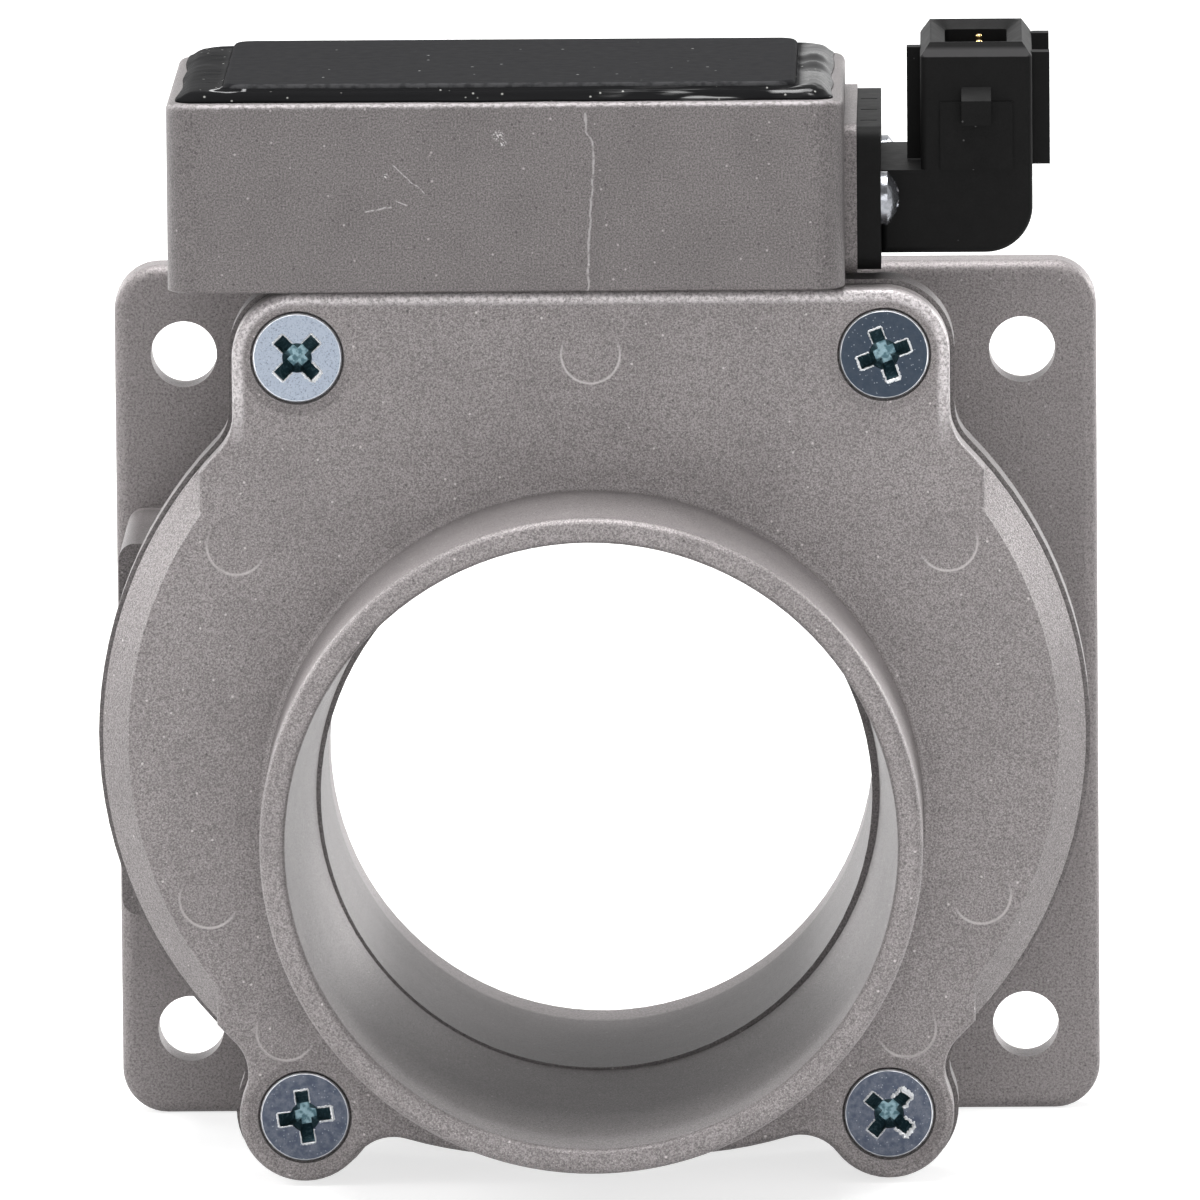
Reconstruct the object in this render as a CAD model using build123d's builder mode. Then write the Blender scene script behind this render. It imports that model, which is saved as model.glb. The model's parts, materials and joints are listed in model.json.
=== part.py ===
"""Hot-wire mass airflow sensor with a die-cast body, a bolted hose cover and a potted control module.

Units are millimetres. +Z is up, the air duct runs along Y, and the hose stub points toward -Y.
The origin is on the duct axis, in the plane of the rear mounting face.
A distance named ..._d is measured forward from that rear face, so it lies at Y = -distance.
"""

import os
from math import atan2, degrees

from build123d import *

os.makedirs("parts", exist_ok=True)

# Air duct
bore_r = 33.75
duct_wall = 4.0
ledge_d = 43.6
ledge_gap = 0.7
ledge_step = 0.65
spigot_wall = 2.6
spigot_clearance = 0.4
spigot_shift_x = 0.2
spigot_shift_z = 0.4
slit_foot_rise = 0.9

# Hose stub
bore_flare = 3.25
stub_wall = 3.0
stub_length = 25.5
rim_round = 1.2
mouth_round = 1.0
stub_root_fillet = 0.9

# Rear flange
flange_t = 6.0
flange_width = 121.6
flange_height = 106.3
flange_shift_x = 0.9
flange_corner_r = 5.6
flange_edge_round = 1.6
flange_hole_r = 4.1
flange_hole_inset_x = 8.9
flange_hole_inset_z = 10.85
flange_hole_shift_x = 0.6
flange_hole_z = 7.5

# Front disc of the body and the cover bolted to it
joint_d = 54.0
disc_t = 6.0
gasket_t = 0.5
cover_t = 5.5
cover_margin = 0.55
side_arc_r = 51.7
side_arc_x = 8.7
side_arc_z = 9.2
cover_screw_x = 35.6
cover_screw_top_z = 56.3
cover_screw_low_z = -37.0
lug_r = 8.5
lug_fillet_top = 6.0
lug_fillet_low = 5.0
band_width = 3.3
band_rim = 0.8
band_top_x = 47.7
band_low_x = 46.2
cover_edge_round = 0.8
ejector_mark_r = 3.65
ejector_mark_depth = 0.2
ejector_mark_places = ((43.2, 33.4), (47.0, -10.0), (37.8, -26.4))

# Driver recess of every screw: share of the wings and of their thickness at the foot, and round middle
recess_foot = 0.4
recess_draft = 0.7
recess_middle = 1.1

# Countersunk cover screws
cover_screw_r = 3.0
cover_screw_head_r = 5.45
cover_screw_rim = 0.8
cover_screw_edge = 0.15
cover_screw_length = 18.0
cover_screw_clearance = 0.3
head_gap = 0.28
seat_gap = 0.05
dish_r = 7.0
dish_depth = 0.45
thread_gap = 0.03
boss_wall = 3.6
boss_length = 16.0
boss_end = 2.0
cross_span = 6.5
cross_width = 1.65
cross_depth = 3.0
cross_turns = (45.0, 20.0, 8.0, 50.0)

# Bypass passage and collector
bypass_r = 5.0
bypass_gap = 5.45
collector_width = 6.5
collector_depth = 14.0
collector_wall = 3.0
collector_lip = 1.5
collector_low_z = -22.0
neck_half_width = 21.0

# Cast pad on the left side
pad_half_height = 23.0
pad_front_d = 38.0
pad_inset = 1.5
pad_corner_r = 2.0

# Electronics box
box_left_x = -51.1
box_width = 82.0
box_depth = 53.0
box_height = 23.0
box_overhang = 6.0
box_clearance = 0.2
box_wall = 1.8
box_floor = 3.0
box_corner_r = 4.2
box_bottom_round = 0.3
box_rim_round = 0.9
post_r = 3.0
post_sink = 0.4

# Lid and sealing compound
lid_sheet = 1.6
lid_top_rise = 2.0
lid_seat_drop = 4.0
lid_play = 0.3
lid_margin_left = 6.8
lid_margin_right = 5.8
lid_margin_front = 4.0
lid_margin_rear = 2.6
lid_corner_r = 2.4
lid_edge_round = 0.7
compound_rise = 1.3
compound_round = 1.1
compound_inset = 1.3

# Circuit
module_plate_t = 1.5
board_t = 1.0
board_margin = 7.8
board_inset = 0.8
board_corner_r = 2.0
board_cutout_gap = 1.4
chip_edge = 0.4
transistor_size = (10.0, 12.0, 4.4)
transistor_from_edge = 9.0
tab_t = 1.3
tab_reach = 1.8
chip_row = 6.5
control_chip_size = (17.0, 8.0, 2.4)
control_chip_from_edge = 12.0
amplifier_chip_size = (9.0, 6.0, 1.9)
amplifier_chip_from_edge = 30.0
capacitor_size = (3.2, 2.4, 1.7)
capacitor_pitch = 5.0
capacitor_from_edge = 42.0
resistor_size = (2.6, 1.4, 0.4)
resistor_pitch = 4.2
resistor_from_edge = 53.0

# Sensing probe
probe_from_box_rear = 14.0
holder_r = 6.5
holder_play = 0.1
holder_flange_length = 27.0
holder_flange_width = 14.0
holder_flange_t = 3.0
holder_foot_gap = 0.8
holder_screw_pitch = 20.0
holder_screw_r = 1.5
holder_screw_length = 8.0
holder_screw_end_gap = 1.0
holder_screw_head_r = 2.6
holder_screw_head_t = 1.8
holder_cross_depth = 1.0
holder_cross_span = 3.0
holder_cross_width = 0.7
ring_section_r = 0.9
ring_play = 0.03
ring_drop = 4.0
pin_r = 0.4
pin_pitch_x = 4.8
pin_pitch_y = 6.4
pin_top_rise = 2.4
element_r = 0.45
element_cap_r = 0.75
element_cap_length = 0.7
lead_t = 0.2
lead_width = 0.9
lead_flat = 1.8

# Connector
pad_rise = 1.5
pad_margin = 0.9
plug_flange_t = 2.9
plug_flange_length = 43.0
plug_flange_height = 17.5
plug_flange_lift = 0.95
plug_flange_corner_r = 2.0
plug_from_box_front = 32.0
plug_z = 72.2
neck_height = 10.2
neck_drop = 5.0
neck_reach = 4.85
shroud_from_end = 7.2
shroud_rear_step = 1.5
shroud_width = 13.6
shroud_height = 25.7
shroud_bevel_width = 1.2
shroud_bevel_height = 1.7
shroud_edge_r = 0.8
elbow_r = 5.7
socket_width = 7.6
socket_end_wall = 3.0
socket_depth = 14.0
lead_in_width = 1.6
lead_in_depth = 1.1
window_from_end = 9.5
window_height = 7.0
window_corner_r = 2.0
window_play = 0.2
plug_inner_reach = 3.5
groove_count = 3
groove_shift = 2.5
groove_pitch = 11.0
groove_length = 2.0
groove_width = 0.5
groove_depth = 0.4
seal_width = 1.2
seal_t = 0.9
seal_offset = 0.5
seal_play = 0.03
nib_width = 3.6
nib_height = 4.5
nib_slope = 1.5
nib_reach = 2.0
nib_drop = 5.4
panel_width = 8.8
panel_height = 8.3
panel_t = 0.35
rib_height = 13.7
rib_drop = 1.5
rib_t = 2.6
rib_reach_left = 1.65
rib_reach_right = 2.15
rib_left_shift = 4.0
rib_from_end = 4.3

# Terminals and connector screws
terminal_pitch = 6.4
terminal_shift = 0.4
terminal_r = 0.4
terminal_tail_width = 1.0
terminal_tail_t = 0.8
terminal_tip_drop = 1.3
terminal_tip_round = 0.3
terminal_tail_reach = 2.2
terminal_play = 0.03
plug_screw_from_end = 3.2
plug_screw_z = 74.5
plug_screw_r = 1.7
plug_screw_head_r = 3.25
plug_screw_head_t = 2.4
plug_screw_length = 9.0
plug_cross_depth = 1.5
plug_cross_span = 3.8
plug_cross_width = 0.8
plug_cross_turns = (30.0, 75.0)
plug_boss_r = 3.4
plug_boss_length = 6.5
plug_boss_end = 0.8

# Worked-out radii and distances
spigot_bore_r = bore_r + ledge_step
spigot_r = spigot_bore_r + spigot_wall
counterbore_r = spigot_r + spigot_clearance
mouth_r = bore_r + bore_flare
hose_r = mouth_r + stub_wall
collector_r = counterbore_r + collector_width
collector_floor_d = joint_d - collector_depth
cover_d = joint_d + gasket_t
face_d = cover_d + cover_t
rim_d = face_d + stub_length
seat_r = cover_screw_head_r + head_gap
shank_hole_r = cover_screw_r + cover_screw_clearance
seat_start = dish_depth + cover_screw_rim - head_gap + seat_gap
seat_end = seat_start + seat_r - shank_hole_r
pad_left_x = flange_shift_x - flange_width / 2 + pad_inset
flange_hole_spacing_x = flange_width - 2 * flange_hole_inset_x
flange_hole_spacing_z = flange_height - 2 * flange_hole_inset_z
window_length = plug_flange_length - 2 * window_from_end
plug_screw_pitch = plug_flange_length - 2 * plug_screw_from_end
shroud_depth = plug_flange_length - 2 * shroud_from_end
socket_length = shroud_depth - shroud_rear_step - 2 * socket_end_wall
rib_right_shift = shroud_depth / 2 - rib_from_end

# Worked-out heights
lug_bottom_z = cover_screw_low_z - lug_r
cover_top_z = cover_screw_top_z + lug_r
flange_z = lug_bottom_z + flange_height / 2
bypass_z = bore_r + bypass_gap + bypass_r
box_bottom_z = cover_top_z + box_clearance
box_floor_z = box_bottom_z + box_floor
box_top_z = box_bottom_z + box_height
lid_seat_z = box_top_z - lid_seat_drop
lid_top_z = box_top_z + lid_top_rise
plate_top_z = box_floor_z + module_plate_t
board_top_z = plate_top_z + board_t
holder_bottom_z = bypass_z + bypass_r + holder_foot_gap
holder_top_z = box_floor_z + holder_flange_t
pin_top_z = holder_top_z + pin_top_rise
neck_bottom_z = plug_z - neck_drop
shroud_top_z = neck_bottom_z + shroud_height
plug_flange_z = box_bottom_z + plug_flange_lift + plug_flange_height / 2

# Worked-out places seen from above
box_front_d = face_d + box_overhang
box_mid_d = box_front_d - box_depth / 2
probe_d = box_front_d - box_depth + probe_from_box_rear
plug_d = box_front_d - plug_from_box_front
box_right_x = box_left_x + box_width
box_mid_x = box_left_x + box_width / 2
board_left_x = box_left_x + board_margin + board_inset
board_chip_y = -box_front_d + board_margin + board_inset + chip_row
pad_face_x = box_right_x + pad_rise
plug_face_x = pad_face_x + plug_flange_t
shroud_left_x = plug_face_x + neck_reach
shroud_right_x = shroud_left_x + shroud_width
shroud_mid_x = shroud_left_x + shroud_width / 2
terminal_x = shroud_mid_x + terminal_shift
shroud_front_d = plug_d + shroud_depth / 2
socket_mid_d = plug_d + shroud_rear_step / 2
terminal_tail_x = box_right_x - box_wall - plug_inner_reach - terminal_tail_reach
terminal_ys = [-plug_d + step * terminal_pitch for step in (-1, 0, 1)]

# Places of repeated features
screw_points = (
    (-cover_screw_x, cover_screw_top_z),
    (cover_screw_x, cover_screw_top_z),
    (-cover_screw_x, cover_screw_low_z),
    (cover_screw_x, cover_screw_low_z),
)
mark_points = [(side * x, z) for x, z in ejector_mark_places for side in (-1, 1)]
post_inset = box_wall + post_r - post_sink
post_points = [
    (box_mid_x + side * (box_width / 2 - post_inset), -box_mid_d + end * (box_depth / 2 - post_inset))
    for side in (-1, 1)
    for end in (-1, 1)
]
plug_screw_points = [
    (-plug_d - plug_screw_pitch / 2, plug_screw_z),
    (-plug_d + plug_screw_pitch / 2, plug_screw_z),
]


def front_plane(distance):
    """Plane facing forward, at a distance in front of the rear face; its sketch axes are X and Z."""
    return Plane.XZ.offset(distance)


def front_spot(x, z, distance, turn=0):
    """Location on a forward-facing plane: its own +Z points to the front of the sensor."""
    return front_plane(distance).location * Location((x, z, 0), (0, 0, turn))


def side_spot(y, z, x, turn=0):
    """Location on a plane facing the connector side: its own +Z points to +X."""
    return Plane.YZ.offset(x).location * Location((y, z, 0), (0, 0, turn))


def is_stub_ring(edge):
    """True for a round edge as wide as the hose stub."""
    return round(edge.radius - hose_r, 2) == 0


def side_arcs(margin):
    """Disc stretched sideways: two round flanks joined by short flats."""
    with BuildSketch() as flanks:
        with Locations((0, side_arc_z)):
            SlotCenterToCenter(2 * side_arc_x, 2 * (side_arc_r - margin))
    return flanks.sketch


def disc_outline(margin):
    """Outline of the joint between body and cover: flanks, square shoulders and two lower lugs."""
    flanks = side_arcs(margin)
    with BuildSketch() as outline:
        add(flanks)
        with Locations((0, (side_arc_z + cover_screw_top_z) / 2)):
            Rectangle(2 * (cover_screw_x + lug_r - margin), cover_screw_top_z - side_arc_z)
        with Locations((0, (side_arc_z + cover_top_z - margin) / 2)):
            Rectangle(2 * cover_screw_x, cover_top_z - margin - side_arc_z)
        with Locations(*screw_points):
            Circle(lug_r - margin)
        shoulders = [
            v for v in outline.vertices()
            if abs(v.X) > cover_screw_x + 1 and side_arc_z + 1 < v.Y < cover_screw_top_z - 1
        ]
        fillet(shoulders, lug_fillet_top + margin)
        notches = [v for v in outline.vertices() if abs(v.X) > side_arc_x + 1 and v.Y < side_arc_z - 1]
        fillet(notches, lug_fillet_low + margin)
    return outline.sketch


def collector_outline(margin):
    """Horseshoe around the duct, open at the bottom, with the mouth of the bypass tunnel."""
    with BuildSketch() as outline:
        Circle(collector_r + margin)
        with Locations((0, collector_low_z - margin - collector_r)):
            Rectangle(4 * collector_r, 2 * collector_r, mode=Mode.SUBTRACT)
        with Locations((0, bypass_z)):
            Circle(bypass_r + margin)
    return outline.sketch


def box_outline(inset, corner):
    """Outline of the electronics box seen from above, drawn in by an inset."""
    with BuildSketch() as outline:
        with Locations((box_mid_x, -box_mid_d)):
            RectangleRounded(box_width - 2 * inset, box_depth - 2 * inset, corner)
    return outline.sketch


def lid_outline(inset):
    """Outline of the raised middle of the lid seen from above, drawn in by an inset."""
    left = box_left_x + lid_margin_left + inset
    right = box_right_x - lid_margin_right - inset
    front = -box_front_d + lid_margin_front + inset
    rear = -box_front_d + box_depth - lid_margin_rear - inset
    with BuildSketch() as outline:
        with Locations(((left + right) / 2, (front + rear) / 2)):
            RectangleRounded(right - left, rear - front, lid_corner_r - inset / 2)
    return outline.sketch


def board_outline(inset):
    """Outline of the module plate or the board, with a notch around the probe holder."""
    gap = board_cutout_gap + inset
    margins = box_outline(board_margin + inset, board_corner_r)
    with BuildSketch() as outline:
        add(margins)
        with Locations((0, -probe_d)):
            SlotOverall(holder_flange_length + 2 * gap, holder_flange_width + 2 * gap, mode=Mode.SUBTRACT)
    return outline.sketch


def turned(points):
    """Solid of revolution about Z from a list of (radius, height) points."""
    with BuildPart() as solid:
        with BuildSketch(Plane.XZ):
            with BuildLine():
                Polyline(*points, close=True)
            make_face()
        revolve(axis=Axis.Z)
    return solid.part


def cross_recess(depth, span, width):
    """Cross-shaped driver recess with sloping wings and a conical middle, sunk from Z = 0 downward."""
    with BuildPart() as recess:
        for height, wing, thickness in ((0, span, width), (-depth, recess_foot * span, recess_draft * width)):
            with BuildSketch(Plane.XY.offset(height)):
                Rectangle(wing, thickness)
                Rectangle(thickness, wing)
        loft()
        with Locations((0, 0, -depth / 2)):
            Cone(recess_foot * recess_middle * width, recess_middle * width, depth)
    return recess.part


def countersunk_screw():
    """Countersunk screw with its head top at Z = 0 and its shank pointing down."""
    recess = cross_recess(cross_depth, cross_span, cross_width)
    blank = turned((
        (0, 0),
        (cover_screw_head_r - cover_screw_edge, 0),
        (cover_screw_head_r, -cover_screw_edge),
        (cover_screw_head_r, -cover_screw_rim),
        (cover_screw_r, -cover_screw_rim - cover_screw_head_r + cover_screw_r),
        (cover_screw_r, -cover_screw_length + cover_screw_edge),
        (cover_screw_r - cover_screw_edge, -cover_screw_length),
        (0, -cover_screw_length),
    ))
    with BuildPart() as screw:
        add(blank)
        add(recess, mode=Mode.SUBTRACT)
    return screw.part


def pan_screw(head_r, head_t, shank_r, length, recess):
    """Pan-head screw with the underside of its head at Z = 0 and its shank pointing down."""
    with BuildPart() as screw:
        with BuildSketch(Plane.XZ):
            with BuildLine():
                Polyline(
                    (0, head_t),
                    (0, -length),
                    (shank_r, -length),
                    (shank_r, 0),
                    (head_r, 0),
                    (head_r, head_t / 3),
                )
                RadiusArc((head_r, head_t / 3), (0, head_t), -2 * head_r)
            make_face()
        revolve(axis=Axis.Z)
        with Locations((0, 0, head_t)):
            add(recess, mode=Mode.SUBTRACT)
    return screw.part


def element(offset_y):
    """Wire-wound ceramic bobbin held across the bypass tunnel between two pins."""
    half = pin_pitch_x / 2 - pin_r - thread_gap
    with BuildPart() as bobbin:
        with BuildSketch(Plane.YZ.offset(-half)):
            with Locations((-probe_d + offset_y, bypass_z)):
                Circle(element_r)
        extrude(amount=2 * half)
        for start in (-half, half - element_cap_length):
            with BuildSketch(Plane.YZ.offset(start)):
                with Locations((-probe_d + offset_y, bypass_z)):
                    Circle(element_cap_r)
            extrude(amount=element_cap_length)
    return bobbin.part


def strip_lead(points, plane):
    """Thin flat lead bent along points on a plane and centred on it."""
    with BuildPart() as lead:
        with BuildSketch(plane):
            with BuildLine() as path:
                Polyline(*points)
            trace(path.line, lead_t)
        extrude(amount=lead_width / 2, both=True)
    return lead.part


def block_on_board(size, from_left, y):
    """Component body standing on the board."""
    with BuildPart() as block:
        with BuildSketch(Plane.XY.offset(board_top_z)):
            with Locations((board_left_x + from_left, y)):
                Rectangle(size[0], size[1])
        extrude(amount=size[2])
        chamfer(block.faces().sort_by(Axis.Z)[-1].edges(), chip_edge)
    return block.part


# Outlines and solids that several pieces share
body_sketch = disc_outline(0)
cover_sketch = disc_outline(cover_margin)
flank_sketch = side_arcs(cover_margin)
collector_sketch = collector_outline(0)
collector_wall_sketch = collector_outline(collector_wall)
box_sketch = box_outline(0, box_corner_r)
box_inner_sketch = box_outline(box_wall, box_corner_r - box_wall)
lid_flange_sketch = box_outline(box_wall + lid_play, box_corner_r - box_wall)
compound_sketch = box_outline(compound_inset, box_corner_r - compound_inset)
lid_sketch = lid_outline(0)
lid_hollow_sketch = lid_outline(lid_sheet)
plate_sketch = board_outline(0)
board_sketch = board_outline(board_inset)
screw_seat = turned((
    (0, 0),
    (dish_r, 0),
    (seat_r, -dish_depth),
    (seat_r, -seat_start),
    (shank_hole_r, -seat_end),
    (shank_hole_r, -cover_t),
    (0, -cover_t),
))

# Main body, one casting
with BuildPart() as main_body:
    # Electronics box with rounded lower and upper edges
    with BuildSketch(Plane.XY.offset(box_bottom_z)):
        add(box_sketch)
    extrude(amount=box_height)
    fillet(main_body.faces().sort_by(Axis.Z)[0].edges(), box_bottom_round)
    fillet(main_body.faces().sort_by(Axis.Z)[-1].edges(), box_rim_round)

    # Rear flange with its rounded front edge
    with BuildSketch(front_plane(0)):
        with Locations((flange_shift_x, flange_z)):
            RectangleRounded(flange_width, flange_height, flange_corner_r)
    extrude(amount=flange_t)
    flange_front = main_body.faces().filter_by(Plane.XZ).sort_by(SortBy.AREA)[-2:].sort_by(Axis.Y)[0]
    fillet(flange_front.outer_wire().edges(), flange_edge_round)

    # Duct wall
    with BuildSketch(front_plane(flange_t)):
        Circle(bore_r + duct_wall)
    extrude(amount=joint_d - flange_t)

    # Front disc that carries the cover
    with BuildSketch(front_plane(joint_d - disc_t)):
        add(body_sketch)
    extrude(amount=disc_t)

    # Wall around the collector, behind the front disc
    with BuildSketch(front_plane(collector_floor_d - collector_wall)):
        add(collector_wall_sketch)
    extrude(amount=joint_d - disc_t - collector_floor_d + collector_wall)

    # Screw bosses behind the disc
    with BuildSketch(front_plane(joint_d - disc_t - boss_length)):
        with Locations(*screw_points):
            Circle(cover_screw_r + boss_wall)
    extrude(amount=boss_length)

    # Pad on the left, between duct and flange edge
    with BuildSketch(front_plane(flange_t)):
        with Locations((pad_left_x / 2, flange_z)):
            RectangleRounded(-pad_left_x, 2 * pad_half_height, pad_corner_r)
    extrude(amount=pad_front_d - flange_t)

    # Neck that holds the bypass tunnel and carries the box
    with BuildSketch(front_plane(flange_t)):
        with Locations((0, (box_bottom_z + box_floor) / 2)):
            Rectangle(2 * neck_half_width, box_bottom_z + box_floor)
    extrude(amount=joint_d - disc_t - flange_t)

    # Inside of the box, then the posts that carry the lid
    with BuildSketch(Plane.XY.offset(box_floor_z)):
        add(box_inner_sketch)
    extrude(amount=box_height - box_floor, mode=Mode.SUBTRACT)
    with BuildSketch(Plane.XY.offset(box_floor_z)):
        with Locations(*post_points):
            Circle(post_r)
    extrude(amount=lid_seat_z - box_floor_z)

    # Pad and inner bosses for the connector
    with BuildSketch(Plane.YZ.offset(box_right_x - box_wall)):
        with Locations((-plug_d, plug_flange_z)):
            RectangleRounded(
                plug_flange_length + pad_margin,
                plug_flange_height + pad_margin,
                plug_flange_corner_r,
            )
    extrude(amount=box_wall + pad_rise)
    with BuildSketch(Plane.YZ.offset(box_right_x - plug_boss_length)):
        with Locations(*plug_screw_points):
            Circle(plug_boss_r)
    extrude(amount=plug_boss_length)

    # Main bore, and the counterbore that takes the spigot
    with BuildSketch(front_plane(0)):
        Circle(bore_r)
    extrude(amount=joint_d, mode=Mode.SUBTRACT)
    with BuildSketch(front_plane(ledge_d)):
        Circle(counterbore_r)
    extrude(amount=joint_d - ledge_d, mode=Mode.SUBTRACT)

    # Horseshoe collector around the spigot, deeper outside the lip of the duct wall
    with BuildSketch(front_plane(ledge_d)):
        add(collector_sketch)
    extrude(amount=joint_d - ledge_d, mode=Mode.SUBTRACT)
    with BuildSketch(front_plane(collector_floor_d)):
        add(collector_sketch)
        Circle(counterbore_r + collector_lip, mode=Mode.SUBTRACT)
    extrude(amount=collector_depth, mode=Mode.SUBTRACT)

    # Bypass tunnel from the rear face to the collector, and the probe hole above it
    with BuildSketch(front_plane(0)):
        with Locations((0, bypass_z)):
            Circle(bypass_r)
    extrude(amount=joint_d, mode=Mode.SUBTRACT)
    with BuildSketch(Plane.XY.offset(bypass_z)):
        with Locations((0, -probe_d)):
            Circle(holder_r + holder_play)
    extrude(amount=box_floor_z - bypass_z, mode=Mode.SUBTRACT)

    # Flange holes
    with BuildSketch(front_plane(0)):
        with Locations((flange_hole_shift_x, flange_hole_z)):
            with GridLocations(flange_hole_spacing_x, flange_hole_spacing_z, 2, 2):
                Circle(flange_hole_r)
    extrude(amount=flange_t, mode=Mode.SUBTRACT)

    # Tapped holes for the cover screws
    with BuildSketch(front_plane(joint_d - disc_t - boss_length + boss_end)):
        with Locations(*screw_points):
            Circle(cover_screw_r + thread_gap)
    extrude(amount=disc_t + boss_length - boss_end, mode=Mode.SUBTRACT)

    # Tapped holes for the probe holder
    with BuildSketch(Plane.XY.offset(box_floor_z - holder_screw_length)):
        with Locations((0, -probe_d)):
            with GridLocations(holder_screw_pitch, 0, 2, 1):
                Circle(holder_screw_r + thread_gap)
    extrude(amount=holder_screw_length, mode=Mode.SUBTRACT)

    # Window and tapped holes for the connector
    with BuildSketch(Plane.YZ.offset(box_right_x - box_wall)):
        with Locations((-plug_d, plug_z)):
            RectangleRounded(
                window_length + 2 * window_play,
                window_height + 2 * window_play,
                window_corner_r,
            )
    extrude(amount=box_wall + pad_rise, mode=Mode.SUBTRACT)
    with BuildSketch(Plane.YZ.offset(box_right_x - plug_boss_length + plug_boss_end)):
        with Locations(*plug_screw_points):
            Circle(plug_screw_r + thread_gap)
    extrude(amount=plug_boss_length + pad_rise - plug_boss_end, mode=Mode.SUBTRACT)

# Square shoulders and lugs of the cover, at full height and with rounded edges
with BuildPart() as cover_shoulders:
    with BuildSketch(front_plane(cover_d)):
        add(cover_sketch)
        for end_x, half in ((band_top_x, 1), (band_low_x, -1)):
            for side in (-1, 1):
                with Locations((side * (end_x + side_arc_r / 2), side_arc_z + half * side_arc_r / 2)):
                    Rectangle(side_arc_r, side_arc_r, mode=Mode.SUBTRACT)
    extrude(amount=cover_t)
    fillet(cover_shoulders.faces().group_by(Axis.Y)[0].edges(), cover_edge_round)

# Cover with the hose stub and the spigot that reaches into the body
with BuildPart() as front_cover:
    # Flanks with a sloping band between the shoulders and the lugs
    with BuildSketch(front_plane(cover_d)):
        add(flank_sketch)
    extrude(amount=band_rim)
    with BuildSketch(front_plane(cover_d + band_rim)):
        add(flank_sketch)
    extrude(amount=cover_t - band_rim, taper=degrees(atan2(band_width, cover_t - band_rim)))
    add(cover_shoulders.part)

    # Hose stub with a rounded rim and a fillet at its root
    with BuildSketch(front_plane(cover_d)):
        Circle(hose_r)
    extrude(amount=rim_d - cover_d)
    fillet(front_cover.faces().sort_by(Axis.Y)[0].edges(), rim_round)
    stub_rings = front_cover.edges().filter_by(GeomType.CIRCLE).filter_by(is_stub_ring)
    fillet(stub_rings.sort_by(Axis.Y)[-1], stub_root_fillet)

    # Spigot behind the cover
    with BuildSketch(front_plane(ledge_d + seat_gap)):
        Circle(spigot_r)
    extrude(amount=cover_d - ledge_d - seat_gap)

    # Bore that narrows from the rim to the ledge, where it lies slightly off the duct axis
    with BuildSketch(front_plane(ledge_d)):
        with Locations((spigot_shift_x, spigot_shift_z)):
            Circle(spigot_bore_r)
    with BuildSketch(front_plane(rim_d)):
        Circle(mouth_r)
    loft(mode=Mode.SUBTRACT)
    fillet(front_cover.faces().sort_by(Axis.Y)[0].inner_wires()[0].edges(), mouth_round)

    # Outlet slit between spigot and ledge, closed only at the foot
    with BuildSketch(front_plane(ledge_d)):
        with Locations((0, slit_foot_rise - spigot_bore_r + hose_r)):
            Rectangle(2 * hose_r, 2 * hose_r)
    extrude(amount=ledge_gap, mode=Mode.SUBTRACT)

    # Screw seats and ejector marks
    with Locations([front_spot(x, z, face_d) for x, z in screw_points]):
        add(screw_seat, mode=Mode.SUBTRACT)
    with BuildSketch(front_plane(face_d - ejector_mark_depth)):
        with Locations(*mark_points):
            Circle(ejector_mark_r)
    extrude(amount=ejector_mark_depth, mode=Mode.SUBTRACT)

# Flat gasket in the joint, open over the collector
with BuildPart() as cover_gasket:
    with BuildSketch(front_plane(joint_d)):
        add(cover_sketch)
        add(collector_sketch, mode=Mode.SUBTRACT)
        Circle(counterbore_r, mode=Mode.SUBTRACT)
        with Locations(*screw_points):
            Circle(shank_hole_r, mode=Mode.SUBTRACT)
    extrude(amount=gasket_t)

# Cover screws
cover_screw = countersunk_screw()
with BuildPart() as cover_screws:
    for (x, z), turn in zip(screw_points, cross_turns):
        with Locations(front_spot(x, z, face_d - dish_depth, turn)):
            add(cover_screw)

# Lid: a flat flange on the posts and a raised middle, hollow below
with BuildPart() as module_lid:
    with BuildSketch(Plane.XY.offset(lid_seat_z)):
        add(lid_flange_sketch)
    extrude(amount=lid_sheet)
    with BuildSketch(Plane.XY.offset(lid_seat_z)):
        add(lid_sketch)
    extrude(amount=lid_top_z - lid_seat_z)
    fillet(module_lid.faces().sort_by(Axis.Z)[-1].edges(), lid_edge_round)
    with BuildSketch(Plane.XY.offset(lid_seat_z)):
        add(lid_hollow_sketch)
    extrude(amount=lid_top_z - lid_seat_z - lid_sheet, mode=Mode.SUBTRACT)

# Sealing compound poured around the raised lid and a little over the rim of the box
with BuildPart() as sealing_compound:
    with BuildSketch(Plane.XY.offset(box_top_z)):
        add(compound_sketch)
        add(lid_sketch, mode=Mode.SUBTRACT)
    extrude(amount=compound_rise)
    fillet(sealing_compound.faces().sort_by(Axis.Z)[-1].outer_wire().edges(), compound_round)
    with BuildSketch(Plane.XY.offset(lid_seat_z + lid_sheet)):
        add(box_inner_sketch)
        add(lid_sketch, mode=Mode.SUBTRACT)
    extrude(amount=lid_seat_drop - lid_sheet)

# Aluminium module plate on the box floor, and the ceramic circuit board on it
with BuildPart() as module_plate:
    with BuildSketch(Plane.XY.offset(box_floor_z)):
        add(plate_sketch)
    extrude(amount=module_plate_t)

with BuildPart() as circuit_board:
    with BuildSketch(Plane.XY.offset(plate_top_z)):
        add(board_sketch)
    extrude(amount=board_t)

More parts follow.
